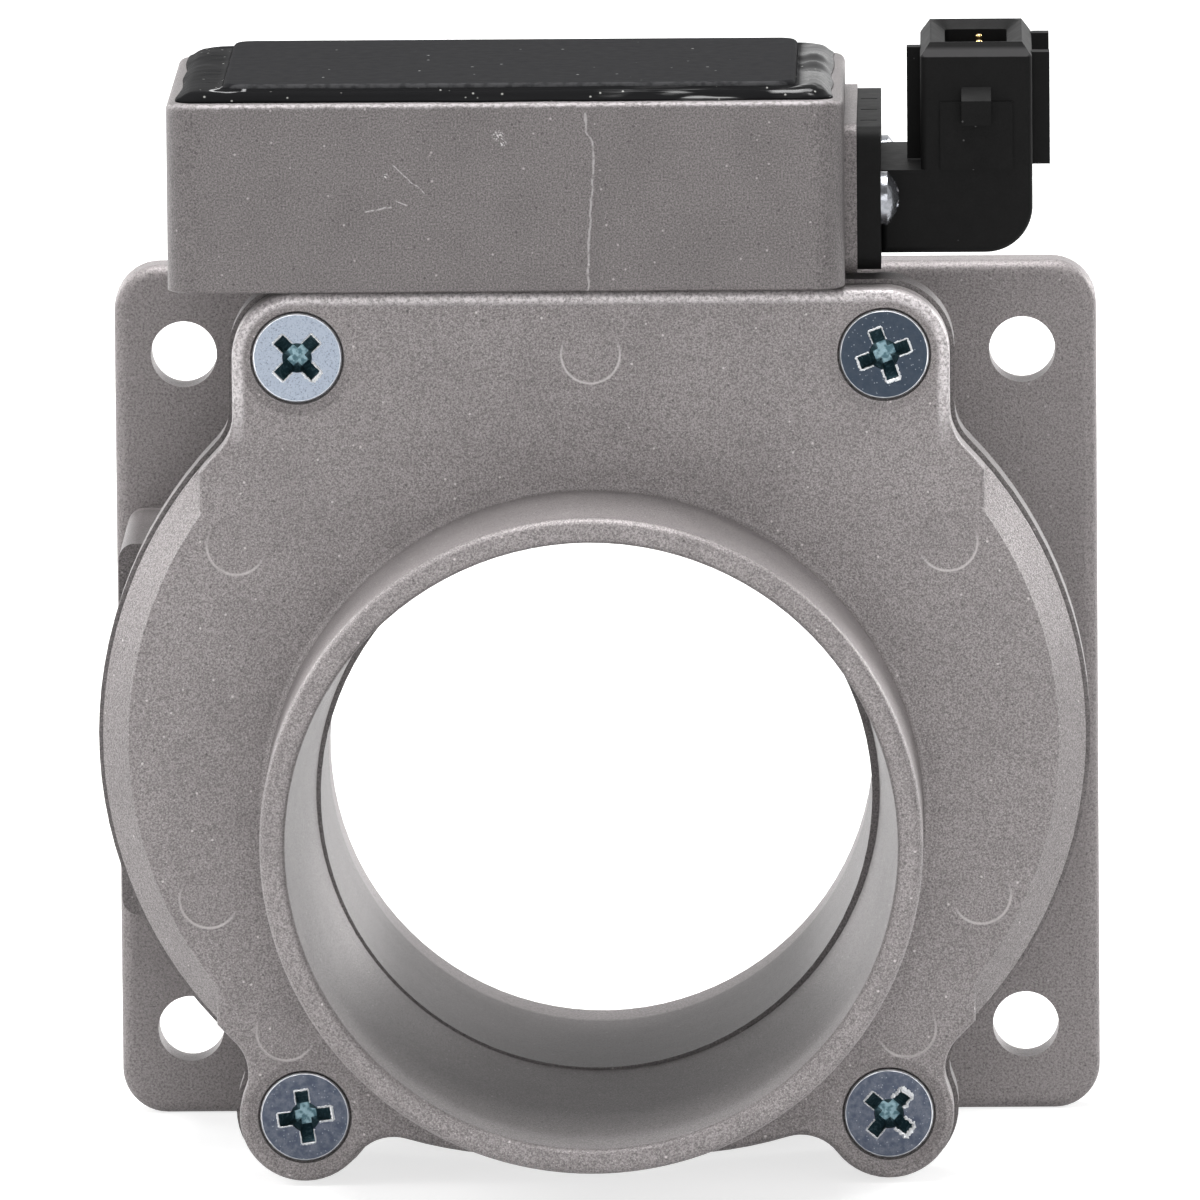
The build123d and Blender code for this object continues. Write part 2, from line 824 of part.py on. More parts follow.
# Components on the board
with BuildPart() as power_transistor:
    with BuildSketch(Plane.XY.offset(board_top_z)):
        with Locations((board_left_x + transistor_from_edge, -probe_d)):
            Rectangle(transistor_size[0], transistor_size[1])
    extrude(amount=tab_t)
    with BuildSketch(Plane.XY.offset(board_top_z)):
        with Locations((board_left_x + transistor_from_edge, -probe_d - tab_reach)):
            Rectangle(transistor_size[0], transistor_size[1] - 2 * tab_reach)
    extrude(amount=transistor_size[2])
    fillet(power_transistor.faces().sort_by(Axis.Z)[-1].edges(), chip_edge)

with BuildPart() as control_chip:
    add(block_on_board(control_chip_size, control_chip_from_edge, board_chip_y))

with BuildPart() as amplifier_chip:
    add(block_on_board(amplifier_chip_size, amplifier_chip_from_edge, board_chip_y))

with BuildPart() as chip_capacitors:
    with BuildSketch(Plane.XY.offset(board_top_z)):
        with Locations((board_left_x + capacitor_from_edge, board_chip_y)):
            with GridLocations(capacitor_pitch, capacitor_pitch, 2, 2):
                Rectangle(capacitor_size[0], capacitor_size[1])
    extrude(amount=capacitor_size[2])

with BuildPart() as film_resistors:
    with BuildSketch(Plane.XY.offset(board_top_z)):
        with Locations((board_left_x + resistor_from_edge, board_chip_y)):
            with GridLocations(resistor_pitch, resistor_pitch, 2, 3):
                Rectangle(resistor_size[0], resistor_size[1])
    extrude(amount=resistor_size[2])

# Probe holder: flange on the box floor and a plug that reaches down to the bypass tunnel
ring_z = box_floor_z - ring_drop
ring_major_r = holder_r + holder_play - ring_play - ring_section_r
ring_groove_r = ring_major_r - ring_section_r - ring_play
ring_groove_height = 2 * (ring_section_r + ring_play)

with BuildPart() as probe_holder:
    with BuildSketch(Plane.XY.offset(box_floor_z)):
        with Locations((0, -probe_d)):
            SlotOverall(holder_flange_length, holder_flange_width)
    extrude(amount=holder_flange_t)
    with BuildSketch(Plane.XY.offset(holder_bottom_z)):
        with Locations((0, -probe_d)):
            Circle(holder_r)
    extrude(amount=box_floor_z - holder_bottom_z)
    with BuildSketch(Plane.XY.offset(ring_z - ring_groove_height / 2)):
        with Locations((0, -probe_d)):
            Circle(2 * holder_r)
            Circle(ring_groove_r, mode=Mode.SUBTRACT)
    extrude(amount=ring_groove_height, mode=Mode.SUBTRACT)
    with BuildSketch(Plane.XY.offset(holder_bottom_z)):
        with Locations((0, -probe_d)):
            with GridLocations(pin_pitch_x, pin_pitch_y, 2, 2):
                Circle(pin_r + thread_gap)
            with GridLocations(holder_screw_pitch, 0, 2, 1):
                Circle(holder_screw_r + thread_gap)
    extrude(amount=holder_top_z - holder_bottom_z, mode=Mode.SUBTRACT)

with BuildPart() as holder_ring:
    with Locations((0, -probe_d, ring_z)):
        Torus(ring_major_r, ring_section_r)

holder_recess = cross_recess(holder_cross_depth, holder_cross_span, holder_cross_width)
holder_screw = pan_screw(
    holder_screw_head_r,
    holder_screw_head_t,
    holder_screw_r,
    holder_flange_t + holder_screw_length - holder_screw_end_gap,
    holder_recess,
)
with BuildPart() as holder_screws:
    for side in (-1, 1):
        with Locations((side * holder_screw_pitch / 2, -probe_d, holder_top_z)):
            add(holder_screw)

with BuildPart() as support_pins:
    with BuildSketch(Plane.XY.offset(bypass_z - 2 * pin_r)):
        with Locations((0, -probe_d)):
            with GridLocations(pin_pitch_x, pin_pitch_y, 2, 2):
                Circle(pin_r)
    extrude(amount=pin_top_z - bypass_z + 2 * pin_r)

with BuildPart() as hot_wire_element:
    add(element(pin_pitch_y / 2))

with BuildPart() as air_temperature_element:
    add(element(-pin_pitch_y / 2))

# Leads from the pins to the board: the front pair runs forward, the rear pair runs sideways
lead_top_z = pin_top_z - lead_t
lead_foot_z = board_top_z + lead_t / 2
forward_foot = holder_flange_width / 2 + board_cutout_gap + board_inset + lead_flat
side_foot = holder_flange_length / 2 + board_cutout_gap + board_inset + lead_flat
pin_edge = pin_r + thread_gap
element_lead_shapes = []
for side in (-1, 1):
    start = -probe_d - pin_pitch_y / 2 - pin_edge
    foot = -probe_d - forward_foot
    points = (
        (start, lead_top_z),
        (start - lead_flat, lead_top_z),
        (foot, lead_foot_z),
        (foot - lead_flat, lead_foot_z),
    )
    element_lead_shapes.append(strip_lead(points, Plane.YZ.offset(side * pin_pitch_x / 2)))
    start = side * (pin_pitch_x / 2 + pin_edge)
    foot = side * side_foot
    reach = side * lead_flat
    points = (
        (start, lead_top_z),
        (start + reach, lead_top_z),
        (foot, lead_foot_z),
        (foot + reach, lead_foot_z),
    )
    element_lead_shapes.append(strip_lead(points, front_plane(probe_d - pin_pitch_y / 2)))
with BuildPart() as element_leads:
    for shape in element_lead_shapes:
        add(shape)

# Connector: flange, neck, elbow and socket in one moulding
nib_top_z = shroud_top_z - nib_drop
rib_foot_z = shroud_top_z - rib_drop - rib_height
rib_places = (
    (shroud_left_x - rib_reach_left / 2, rib_reach_left, plug_d + rib_left_shift),
    (shroud_right_x + rib_reach_right / 2, rib_reach_right, plug_d + rib_right_shift),
    (shroud_right_x + rib_reach_right / 2, rib_reach_right, plug_d - rib_right_shift),
)
seal_length = window_length + 2 * (seal_offset + seal_width)
seal_height = window_height + 2 * (seal_offset + seal_width)
seal_inner_length = window_length + 2 * seal_offset
seal_inner_height = window_height + 2 * seal_offset

with BuildPart() as connector_housing:
    # Elbow and socket walls
    with BuildSketch(front_plane(plug_d - shroud_depth / 2)) as elbow:
        with Locations(((plug_face_x + shroud_right_x) / 2, neck_bottom_z + neck_height / 2)):
            Rectangle(shroud_right_x - plug_face_x, neck_height)
        with Locations((shroud_mid_x, (neck_bottom_z + shroud_top_z) / 2)):
            Rectangle(shroud_width, shroud_height)
        fillet(elbow.vertices().group_by(Axis.Y)[0].sort_by(Axis.X)[-1], elbow_r)
    extrude(amount=shroud_depth)
    with BuildSketch(front_plane(plug_d - shroud_depth / 2)):
        with Locations((shroud_mid_x, neck_bottom_z + neck_height + shroud_height / 2)):
            Rectangle(2 * shroud_width, shroud_height)
    extrude(amount=shroud_rear_step, mode=Mode.SUBTRACT)
    top = connector_housing.faces().sort_by(Axis.Z)[-1]
    chamfer(top.edges(), shroud_bevel_width, shroud_bevel_height, reference=top)
    fillet(connector_housing.edges().filter_by(Axis.Z), shroud_edge_r)

    # Flange, and the plug that fills the window
    with BuildSketch(Plane.YZ.offset(pad_face_x)):
        with Locations((-plug_d, plug_flange_z)):
            RectangleRounded(plug_flange_length, plug_flange_height, plug_flange_corner_r)
    extrude(amount=plug_flange_t)
    with BuildSketch(Plane.YZ.offset(box_right_x - box_wall - plug_inner_reach)):
        with Locations((-plug_d, plug_z)):
            RectangleRounded(window_length, window_height, window_corner_r)
    extrude(amount=plug_inner_reach + box_wall + pad_rise)

    # Shallow grooves across the top of the flange
    with BuildSketch(Plane.XY.offset(plug_flange_z + plug_flange_height / 2 - groove_depth)):
        with Locations((pad_face_x + plug_flange_t / 2, -plug_d - groove_shift)):
            with GridLocations(0, groove_pitch, 1, groove_count):
                Rectangle(groove_length, groove_width)
    extrude(amount=groove_depth, mode=Mode.SUBTRACT)

    # Raised panel, latch nib and coding ribs on the socket
    with BuildSketch(front_plane(shroud_front_d)):
        with Locations((shroud_mid_x, neck_bottom_z + neck_height + panel_height / 2)):
            Rectangle(panel_width, panel_height)
    extrude(amount=panel_t)
    with BuildSketch(Plane.YZ.offset(shroud_mid_x - nib_width / 2)):
        with BuildLine():
            Polyline(
                (-shroud_front_d, nib_top_z),
                (-shroud_front_d - nib_reach, nib_top_z - nib_slope),
                (-shroud_front_d - nib_reach, nib_top_z - nib_height),
                (-shroud_front_d, nib_top_z - nib_height),
                close=True,
            )
        make_face()
    extrude(amount=nib_width)
    for rib_x, reach, rib_d in rib_places:
        with BuildSketch(Plane.XY.offset(rib_foot_z)):
            with Locations((rib_x, -rib_d)):
                Rectangle(reach, rib_t)
        extrude(amount=rib_height)

    # Socket
    with BuildSketch(Plane.XY.offset(shroud_top_z - socket_depth)):
        with Locations((shroud_mid_x, -socket_mid_d)):
            RectangleRounded(socket_width, socket_length, shroud_edge_r)
    extrude(amount=socket_depth, mode=Mode.SUBTRACT)
    rim = connector_housing.faces().sort_by(Axis.Z)[-1]
    chamfer(rim.inner_wires()[0].edges(), lead_in_width, lead_in_depth, reference=rim)

    # Channels of the terminals: down from the socket, then out through the plug
    with BuildSketch(Plane.XY.offset(plug_z)):
        with Locations(*[(terminal_x, y) for y in terminal_ys]):
            Circle(terminal_r + terminal_play)
    extrude(amount=shroud_top_z - socket_depth - plug_z, mode=Mode.SUBTRACT)
    with BuildSketch(Plane.YZ.offset(terminal_tail_x)):
        with Locations(*[(y, plug_z) for y in terminal_ys]):
            Rectangle(terminal_tail_width + 2 * terminal_play, terminal_tail_t + 2 * terminal_play)
    extrude(amount=terminal_x + terminal_r + terminal_play - terminal_tail_x, mode=Mode.SUBTRACT)

    # Screw holes and the groove of the seal
    with BuildSketch(Plane.YZ.offset(pad_face_x)):
        with Locations(*plug_screw_points):
            Circle(plug_screw_r + cover_screw_clearance)
    extrude(amount=plug_flange_t, mode=Mode.SUBTRACT)
    with BuildSketch(Plane.YZ.offset(pad_face_x)):
        with Locations((-plug_d, plug_z)):
            RectangleRounded(seal_length + 2 * seal_play, seal_height + 2 * seal_play, window_corner_r)
            RectangleRounded(
                seal_inner_length - 2 * seal_play,
                seal_inner_height - 2 * seal_play,
                window_corner_r,
                mode=Mode.SUBTRACT,
            )
    extrude(amount=seal_t, mode=Mode.SUBTRACT)

with BuildPart() as connector_seal:
    with BuildSketch(Plane.YZ.offset(pad_face_x)):
        with Locations((-plug_d, plug_z)):
            RectangleRounded(seal_length, seal_height, window_corner_r)
            RectangleRounded(seal_inner_length, seal_inner_height, window_corner_r, mode=Mode.SUBTRACT)
    extrude(amount=seal_t)

plug_recess = cross_recess(plug_cross_depth, plug_cross_span, plug_cross_width)
plug_screw = pan_screw(plug_screw_head_r, plug_screw_head_t, plug_screw_r, plug_screw_length, plug_recess)
with BuildPart() as connector_screws:
    for (y, z), turn in zip(plug_screw_points, plug_cross_turns):
        with Locations(side_spot(y, z, plug_face_x, turn)):
            add(plug_screw)

# Terminals, each a pin in the socket with a flat tail into the box, and the lead to the board
terminals = []
terminal_leads = []
board_right_x = box_right_x - board_margin - board_inset
for number, y in enumerate(terminal_ys, start=1):
    with BuildPart() as terminal:
        with BuildSketch(Plane.XY.offset(plug_z)):
            with Locations((terminal_x, y)):
                Circle(terminal_r)
        extrude(amount=shroud_top_z - terminal_tip_drop - plug_z)
        fillet(terminal.faces().sort_by(Axis.Z)[-1].edges(), terminal_tip_round)
        with BuildSketch(Plane.YZ.offset(terminal_tail_x)):
            with Locations((y, plug_z)):
                Rectangle(terminal_tail_width, terminal_tail_t)
        extrude(amount=terminal_x + terminal_r - terminal_tail_x)
    terminal.part.label = f"terminal_{number}"
    terminals.append(terminal.part)

    tail_top_z = plug_z + terminal_tail_t / 2 + lead_t / 2
    lead_points = (
        (terminal_tail_x + lead_flat, tail_top_z),
        (terminal_tail_x - lead_t, tail_top_z),
        (board_right_x - lead_flat, lead_foot_z),
        (board_right_x - 2 * lead_flat, lead_foot_z),
    )
    terminal_lead = strip_lead(lead_points, front_plane(-y))
    terminal_lead.label = f"terminal_lead_{number}"
    terminal_leads.append(terminal_lead)

# Names and files
pieces = {
    "main_body": main_body.part,
    "front_cover": front_cover.part,
    "cover_gasket": cover_gasket.part,
    "cover_screws": cover_screws.part,
    "module_lid": module_lid.part,
    "sealing_compound": sealing_compound.part,
    "module_plate": module_plate.part,
    "circuit_board": circuit_board.part,
    "power_transistor": power_transistor.part,
    "control_chip": control_chip.part,
    "amplifier_chip": amplifier_chip.part,
    "chip_capacitors": chip_capacitors.part,
    "film_resistors": film_resistors.part,
    "probe_holder": probe_holder.part,
    "holder_ring": holder_ring.part,
    "holder_screws": holder_screws.part,
    "support_pins": support_pins.part,
    "hot_wire_element": hot_wire_element.part,
    "air_temperature_element": air_temperature_element.part,
    "element_leads": element_leads.part,
    "connector_housing": connector_housing.part,
    "connector_seal": connector_seal.part,
    "connector_screws": connector_screws.part,
}
for terminal_part in terminals + terminal_leads:
    pieces[terminal_part.label] = terminal_part

for name, piece in pieces.items():
    piece.label = name
    export_step(piece, f"parts/{name}.step")
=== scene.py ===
"""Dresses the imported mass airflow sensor: cast metal, poured compound, moulded plastics and plated screws.

Lengths are metres in the row frame: X to the connector, Y out of the rear face, Z up.
"""

import json
import math

import bpy
from mathutils import Matrix, Vector, noise


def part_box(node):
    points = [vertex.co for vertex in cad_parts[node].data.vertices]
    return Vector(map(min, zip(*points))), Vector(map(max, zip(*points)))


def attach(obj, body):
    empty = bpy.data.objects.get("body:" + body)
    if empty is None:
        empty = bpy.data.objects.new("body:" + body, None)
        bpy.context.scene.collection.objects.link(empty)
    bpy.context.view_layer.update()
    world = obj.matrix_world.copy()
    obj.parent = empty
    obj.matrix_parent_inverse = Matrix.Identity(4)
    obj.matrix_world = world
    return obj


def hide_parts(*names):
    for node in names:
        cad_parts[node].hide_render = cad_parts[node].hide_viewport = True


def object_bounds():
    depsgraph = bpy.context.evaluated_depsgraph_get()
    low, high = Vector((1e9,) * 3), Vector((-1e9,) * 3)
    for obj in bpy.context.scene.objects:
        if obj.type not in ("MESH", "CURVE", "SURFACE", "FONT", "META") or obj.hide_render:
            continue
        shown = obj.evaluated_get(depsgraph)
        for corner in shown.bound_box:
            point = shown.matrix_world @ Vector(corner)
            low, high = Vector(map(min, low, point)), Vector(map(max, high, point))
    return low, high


MM = 0.001

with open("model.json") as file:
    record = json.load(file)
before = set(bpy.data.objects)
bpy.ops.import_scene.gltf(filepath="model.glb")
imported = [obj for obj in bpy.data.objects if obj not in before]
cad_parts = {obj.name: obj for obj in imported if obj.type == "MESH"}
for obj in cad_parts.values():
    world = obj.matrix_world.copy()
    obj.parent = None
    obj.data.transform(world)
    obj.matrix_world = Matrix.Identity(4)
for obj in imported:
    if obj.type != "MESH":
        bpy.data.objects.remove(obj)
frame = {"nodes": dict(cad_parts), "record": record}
cad_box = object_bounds()
nodes = frame["nodes"]


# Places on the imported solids

DUCT_WALL_R = 37 * MM
STUB_RIM_Y = -83 * MM
STUB_INSIDE_Y = -76 * MM
FILM_TOP_Z = -14 * MM
FILM_FULL_Z = -27 * MM

SCREW_X = 35.6 * MM
SCREW_TOP_Z = 56.3 * MM
SCREW_LOW_Z = -37.0 * MM
SCREW_TURNS = (45.0, 20.0, 8.0, 50.0)
HEAD_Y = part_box("cover_screws")[0][1]
HEAD_RIM_R = 5.26 * MM
RECESS_R = 3.9 * MM
UPPER_SCREWS_Z = 9 * MM

COVER_FRONT_Y = -57.5 * MM
EJECTOR_R = 3.45 * MM
EJECTOR_PLACES_MM = ((0.0, 56.6), (43.2, 33.4), (47.0, -10.0), (37.8, -26.4))

FLANGE_FRONT_Y = -7 * MM
SCRATCHES_MM = ((-21.7, 78.8, -0.85, 1.9), (-25.4, 75.2, 0.16, 1.6), (-22.6, 75.9, -0.5, 0.7))
CHIPS_MM = ((-10.8, 84.0, 0.9), (-10.2, 83.1, 0.5), (-24.5, 79.2, 0.4))
BOX_FRONT_Y = -65.6 * MM
BOX_EDGE_Y = -63.9 * MM
BOX_LEFT_X = -49.6 * MM
BOX_RIGHT_X = 29.1 * MM
COMPOUND_FRONT_Y = -61.6 * MM
LID_EDGE_Z = 89.3 * MM
SOCKET_BEVEL_Y = -47.4 * MM
SOCKET_BEVEL_Z = 91.1 * MM


# Colours of marks and wear, and of painted light: highlights, glints and shade

# Painted shade for the bottom of the duct.
DUCT_PAINTED_SHADE = (0.07, 0.066, 0.066)
# Painted highlight for the cover's rounded upper corners.
CORNER_PAINTED_HIGHLIGHT = (0.75, 0.71, 0.72)
# Painted highlight for the lower arcs of the ejector marks.
ARC_PAINTED_HIGHLIGHT = (0.75, 0.71, 0.71)
# Painted light that makes the rear flange lighter.
FLANGE_PAINTED_LIGHT = (0.5, 0.46, 0.46)
# Painted highlight along the flow line; the next colour is painted shade beside it.
FLOW_LINE_HIGHLIGHT = (0.55, 0.53, 0.53)
FLOW_SHADE = (0.1, 0.095, 0.095)
SCRATCH = (0.6, 0.58, 0.58)
CHIP = (0.7, 0.68, 0.68)
# Painted highlight for the box rim's rounded top edge.
RIM_PAINTED_HIGHLIGHT = (0.3, 0.28, 0.285)
ZINC_PALE = (0.3, 0.34, 0.4)
ZINC_DARK = (0.04, 0.05, 0.08)
ZINC_NAVY = (0.018, 0.028, 0.042)
ZINC_SPECK = (0.4, 0.43, 0.47)
# Painted highlight for the screw heads' rims.
ZINC_RIM_HIGHLIGHT = (0.9, 0.92, 0.95)
RECESS_TEAL = (0.05, 0.1, 0.12)
# Painted glints for the recess.
RECESS_PAINTED_GLINT = (0.25, 0.36, 0.4)
# Dust specks, and also painted sparkle near the compound's right end.
COMPOUND_DUST_AND_SPARKLE = (0.4, 0.4, 0.38)
# Painted highlight for the compound's glossy crescent.
COMPOUND_CRESCENT_HIGHLIGHT = (0.5, 0.5, 0.5)
# Painted highlight for the lid's front top edge.
LID_EDGE_HIGHLIGHT = (0.05, 0.05, 0.052)
LID_DUST = (0.3, 0.3, 0.3)
# Painted highlight for the connector's front bevel.
BEVEL_PAINTED_HIGHLIGHT = (0.05, 0.049, 0.05)
SCUFF_GREY = (0.12, 0.12, 0.12)


# Small helpers for node trees


class Shader:
    """A Principled material that is built up by short calls."""

    def __init__(self, name, color, metallic, roughness, specular=0.5):
        self.material = bpy.data.materials.new(name)
        self.material.use_nodes = True
        self.tree = self.material.node_tree
        self.bsdf = self.tree.nodes["Principled BSDF"]
        self.bsdf.inputs["Base Color"].default_value = (*color, 1)
        self.bsdf.inputs["Metallic"].default_value = metallic
        self.bsdf.inputs["Roughness"].default_value = roughness
        self.bsdf.inputs["Specular IOR Level"].default_value = specular
        self.place = self.tree.nodes.new("ShaderNodeTexCoord").outputs["Object"]
        split = self.tree.nodes.new("ShaderNodeSeparateXYZ")
        self.tree.links.new(self.place, split.inputs[0])
        self.x, self.y, self.z = split.outputs
        self.color = None
        self.height = None

    def link(self, source, socket):
        """Links an output, or sets a plain value."""
        if isinstance(source, (int, float)):
            socket.default_value = source
        elif isinstance(source, tuple):
            socket.default_value = (*source, 1)
        else:
            self.tree.links.new(source, socket)

    def math(self, operation, a, b=0.0):
        """Result of one Math node."""
        node = self.tree.nodes.new("ShaderNodeMath")
        node.operation = operation
        self.link(a, node.inputs[0])
        self.link(b, node.inputs[1])
        return node.outputs[0]

    def product(self, first, *others):
        """Product of two or more values."""
        for other in others:
            first = self.math("MULTIPLY", first, other)
        return first

    def noise(self, scale, detail=2.0, rough=0.5, stretch=None):
        """Noise with its grain given in millimetres."""
        place = self.place
        if stretch:
            mapping = self.tree.nodes.new("ShaderNodeMapping")
            mapping.inputs["Scale"].default_value = stretch
            self.link(place, mapping.inputs[0])
            place = mapping.outputs[0]
        node = self.tree.nodes.new("ShaderNodeTexNoise")
        self.link(place, node.inputs["Vector"])
        node.inputs["Scale"].default_value = 1 / (scale * MM)
        node.inputs["Detail"].default_value = detail
        node.inputs["Roughness"].default_value = rough
        return node.outputs[0]

    def ramp(self, value, low, high, start=0.0, end=1.0, smooth=True):
        """Maps a value from low..high to start..end, held at both ends."""
        node = self.tree.nodes.new("ShaderNodeMapRange")
        node.interpolation_type = "SMOOTHSTEP" if smooth else "LINEAR"
        self.link(value, node.inputs["Value"])
        for name, number in zip(("From Min", "From Max", "To Min", "To Max"), (low, high, start, end)):
            node.inputs[name].default_value = number
        return node.outputs[0]

    def mix(self, factor, a, b):
        """Mix of two colours."""
        node = self.tree.nodes.new("ShaderNodeMix")
        node.data_type = "RGBA"
        self.link(factor, node.inputs["Factor"])
        self.link(a, node.inputs[6])
        self.link(b, node.inputs[7])
        return node.outputs[2]

    def spots(self, scale, size, seed=0.0):
        """Mask of small sparse specks: cell size in millimetres, speck size as a share of a cell."""
        shifted = self.tree.nodes.new("ShaderNodeVectorMath")
        shifted.operation = "ADD"
        self.link(self.place, shifted.inputs[0])
        shifted.inputs[1].default_value = (seed, seed, seed)
        node = self.tree.nodes.new("ShaderNodeTexVoronoi")
        self.link(shifted.outputs[0], node.inputs["Vector"])
        node.inputs["Scale"].default_value = 1 / (scale * MM)
        return self.ramp(node.outputs["Distance"], size, size * 0.4)

    def inside(self, value, low, high, soft=0.2 * MM):
        """1 where low < value < high, with soft ends."""
        rise = self.ramp(value, low - soft, low + soft)
        fall = self.ramp(value, high + soft, high - soft)
        return self.product(rise, fall)

    def offset(self, value, place):
        """Distance of a value past a place, with its sign."""
        return self.math("SUBTRACT", value, place)

    def length(self, a, b):
        """Distance from two offsets."""
        return self.math("SQRT", self.math("ADD", self.product(a, a), self.product(b, b)))

    def stroke(self, across, along, start, end, width):
        """Mask of a thin stroke: where |across| is under the width, and along lies between start and end."""
        near = self.ramp(self.math("ABSOLUTE", across), width, width * 0.3)
        return self.product(near, self.inside(along, start, end))

    def paint(self, factor, color):
        """Lays a colour over what is there."""
        below = self.color or tuple(self.bsdf.inputs["Base Color"].default_value[:3])
        self.color = self.mix(factor, below, color)

    def raise_by(self, value, amount):
        """Adds a height, in millimetres, to the bump."""
        term = self.product(value, amount * MM)
        self.height = self.math("ADD", self.height, term) if self.height else term

    def set_by(self, value, start, end, socket):
        """Moves a socket from start to end as a value goes from 0 to 1."""
        self.link(self.ramp(value, 0, 1, start, end, smooth=False), self.bsdf.inputs[socket])

    def done(self):
        """Links colour and bump, and gives the material."""
        if self.color:
            self.link(self.color, self.bsdf.inputs["Base Color"])
        if self.height:
            bump = self.tree.nodes.new("ShaderNodeBump")
            bump.inputs["Strength"].default_value = 1.0
            bump.inputs["Distance"].default_value = 1.0
            self.link(self.height, bump.inputs["Height"])
            self.link(bump.outputs[0], self.bsdf.inputs["Normal"])
        return self.material


def scaled(color, share):
    """A colour made darker or lighter, held under white."""
    return tuple(min(1.0, channel * share) for channel in color)


# Materials

CAST_METALLIC = 0.3
CAST_SPECULAR = 0.15
CAST_ROUGHNESS = 0.42


def cast_metal(name, dark, light, marks):
    """Grainy die-cast aluminium with painted glints in its grain, painted shade at the bottom of the duct,
    and the marks and painted highlights that are passed in.
    """
    s = Shader(name, light, CAST_METALLIC, CAST_ROUGHNESS, CAST_SPECULAR)
    grain = s.noise(0.22, 3.0, 0.75)
    patches = s.noise(7.0, 3.0, 0.55)
    s.color = s.mix(s.ramp(grain, 0.3, 0.7), dark, light)
    s.paint(s.ramp(patches, 0.35, 0.75, 0.0, 0.16), scaled(dark, 0.75))
    s.paint(s.product(s.spots(1.7, 0.13), 0.55), scaled(dark, 0.5))
    # Lighter specks painted as glints of the grain.
    s.paint(s.product(s.spots(0.55, 0.17, 0.3), 0.6), scaled(light, 1.5))
    s.paint(s.product(s.spots(2.3, 0.09, 0.7), 0.7), scaled(light, 1.8))
    s.set_by(grain, 0.36, 0.48, "Roughness")
    s.raise_by(grain, 0.06)
    s.raise_by(s.noise(1.6, 2.0), 0.04)
    # Painted shade at the bottom of the duct.
    duct_painted_shade(s)
    marks(s)
    return s.done()


def duct_painted_shade(s):
    """Painted shade at the bottom of the duct: a darker colour, with less metal and specular reflection
    there.
    """
    wall = s.ramp(s.length(s.x, s.z), DUCT_WALL_R + MM, DUCT_WALL_R)
    behind_rim = s.ramp(s.y, STUB_RIM_Y, STUB_INSIDE_Y)
    low = s.product(wall, behind_rim, s.ramp(s.z, FILM_TOP_Z, FILM_FULL_Z))
    s.paint(s.product(low, 0.35), DUCT_PAINTED_SHADE)
    s.link(s.ramp(low, 0, 1, CAST_METALLIC, 0.1), s.bsdf.inputs["Metallic"])
    s.link(s.ramp(low, 0, 1, CAST_SPECULAR, 0.05), s.bsdf.inputs["Specular IOR Level"])


def cover_painted_highlights(s):
    """Painted highlights on the shoulders at the cover's upper corners and on the lower arcs of the ejector
    marks.
    """
    off_x = s.math("MAXIMUM", s.offset(s.math("ABSOLUTE", s.x), SCREW_X), 0.0)
    off_z = s.math("MAXIMUM", s.offset(s.z, SCREW_TOP_Z), 0.0)
    upper = s.product(s.ramp(s.z, 44 * MM, 52 * MM), s.ramp(s.y, COVER_FRONT_Y, COVER_FRONT_Y - 0.5 * MM))
    sparkle = s.ramp(s.noise(0.35, 3.0, 0.7), 0.35, 0.62, 0.15, 0.85)
    # Painted highlight, with sparkle, along the rounded shoulders round the upper screw lugs.
    shoulder_highlight = s.product(s.inside(s.length(off_x, off_z), 6.6 * MM, 8.0 * MM, 0.4 * MM), upper)
    s.paint(s.product(shoulder_highlight, sparkle), CORNER_PAINTED_HIGHLIGHT)
    for x, z in EJECTOR_PLACES_MM:
        off_x = s.offset(s.math("ABSOLUTE", s.x), x * MM)
        off_z = s.offset(s.z, z * MM)
        # Painted highlight on the lower, upward-facing arc of each ejector mark's rim.
        ring = s.inside(s.length(off_x, off_z), EJECTOR_R, EJECTOR_R + 0.25 * MM, 0.12 * MM)
        lit_lower_half = s.ramp(s.math("ADD", off_z, s.product(off_x, -0.5)), 1.2 * MM, -2.6 * MM)
        s.paint(s.product(ring, lit_lower_half, 0.5), ARC_PAINTED_HIGHLIGHT)


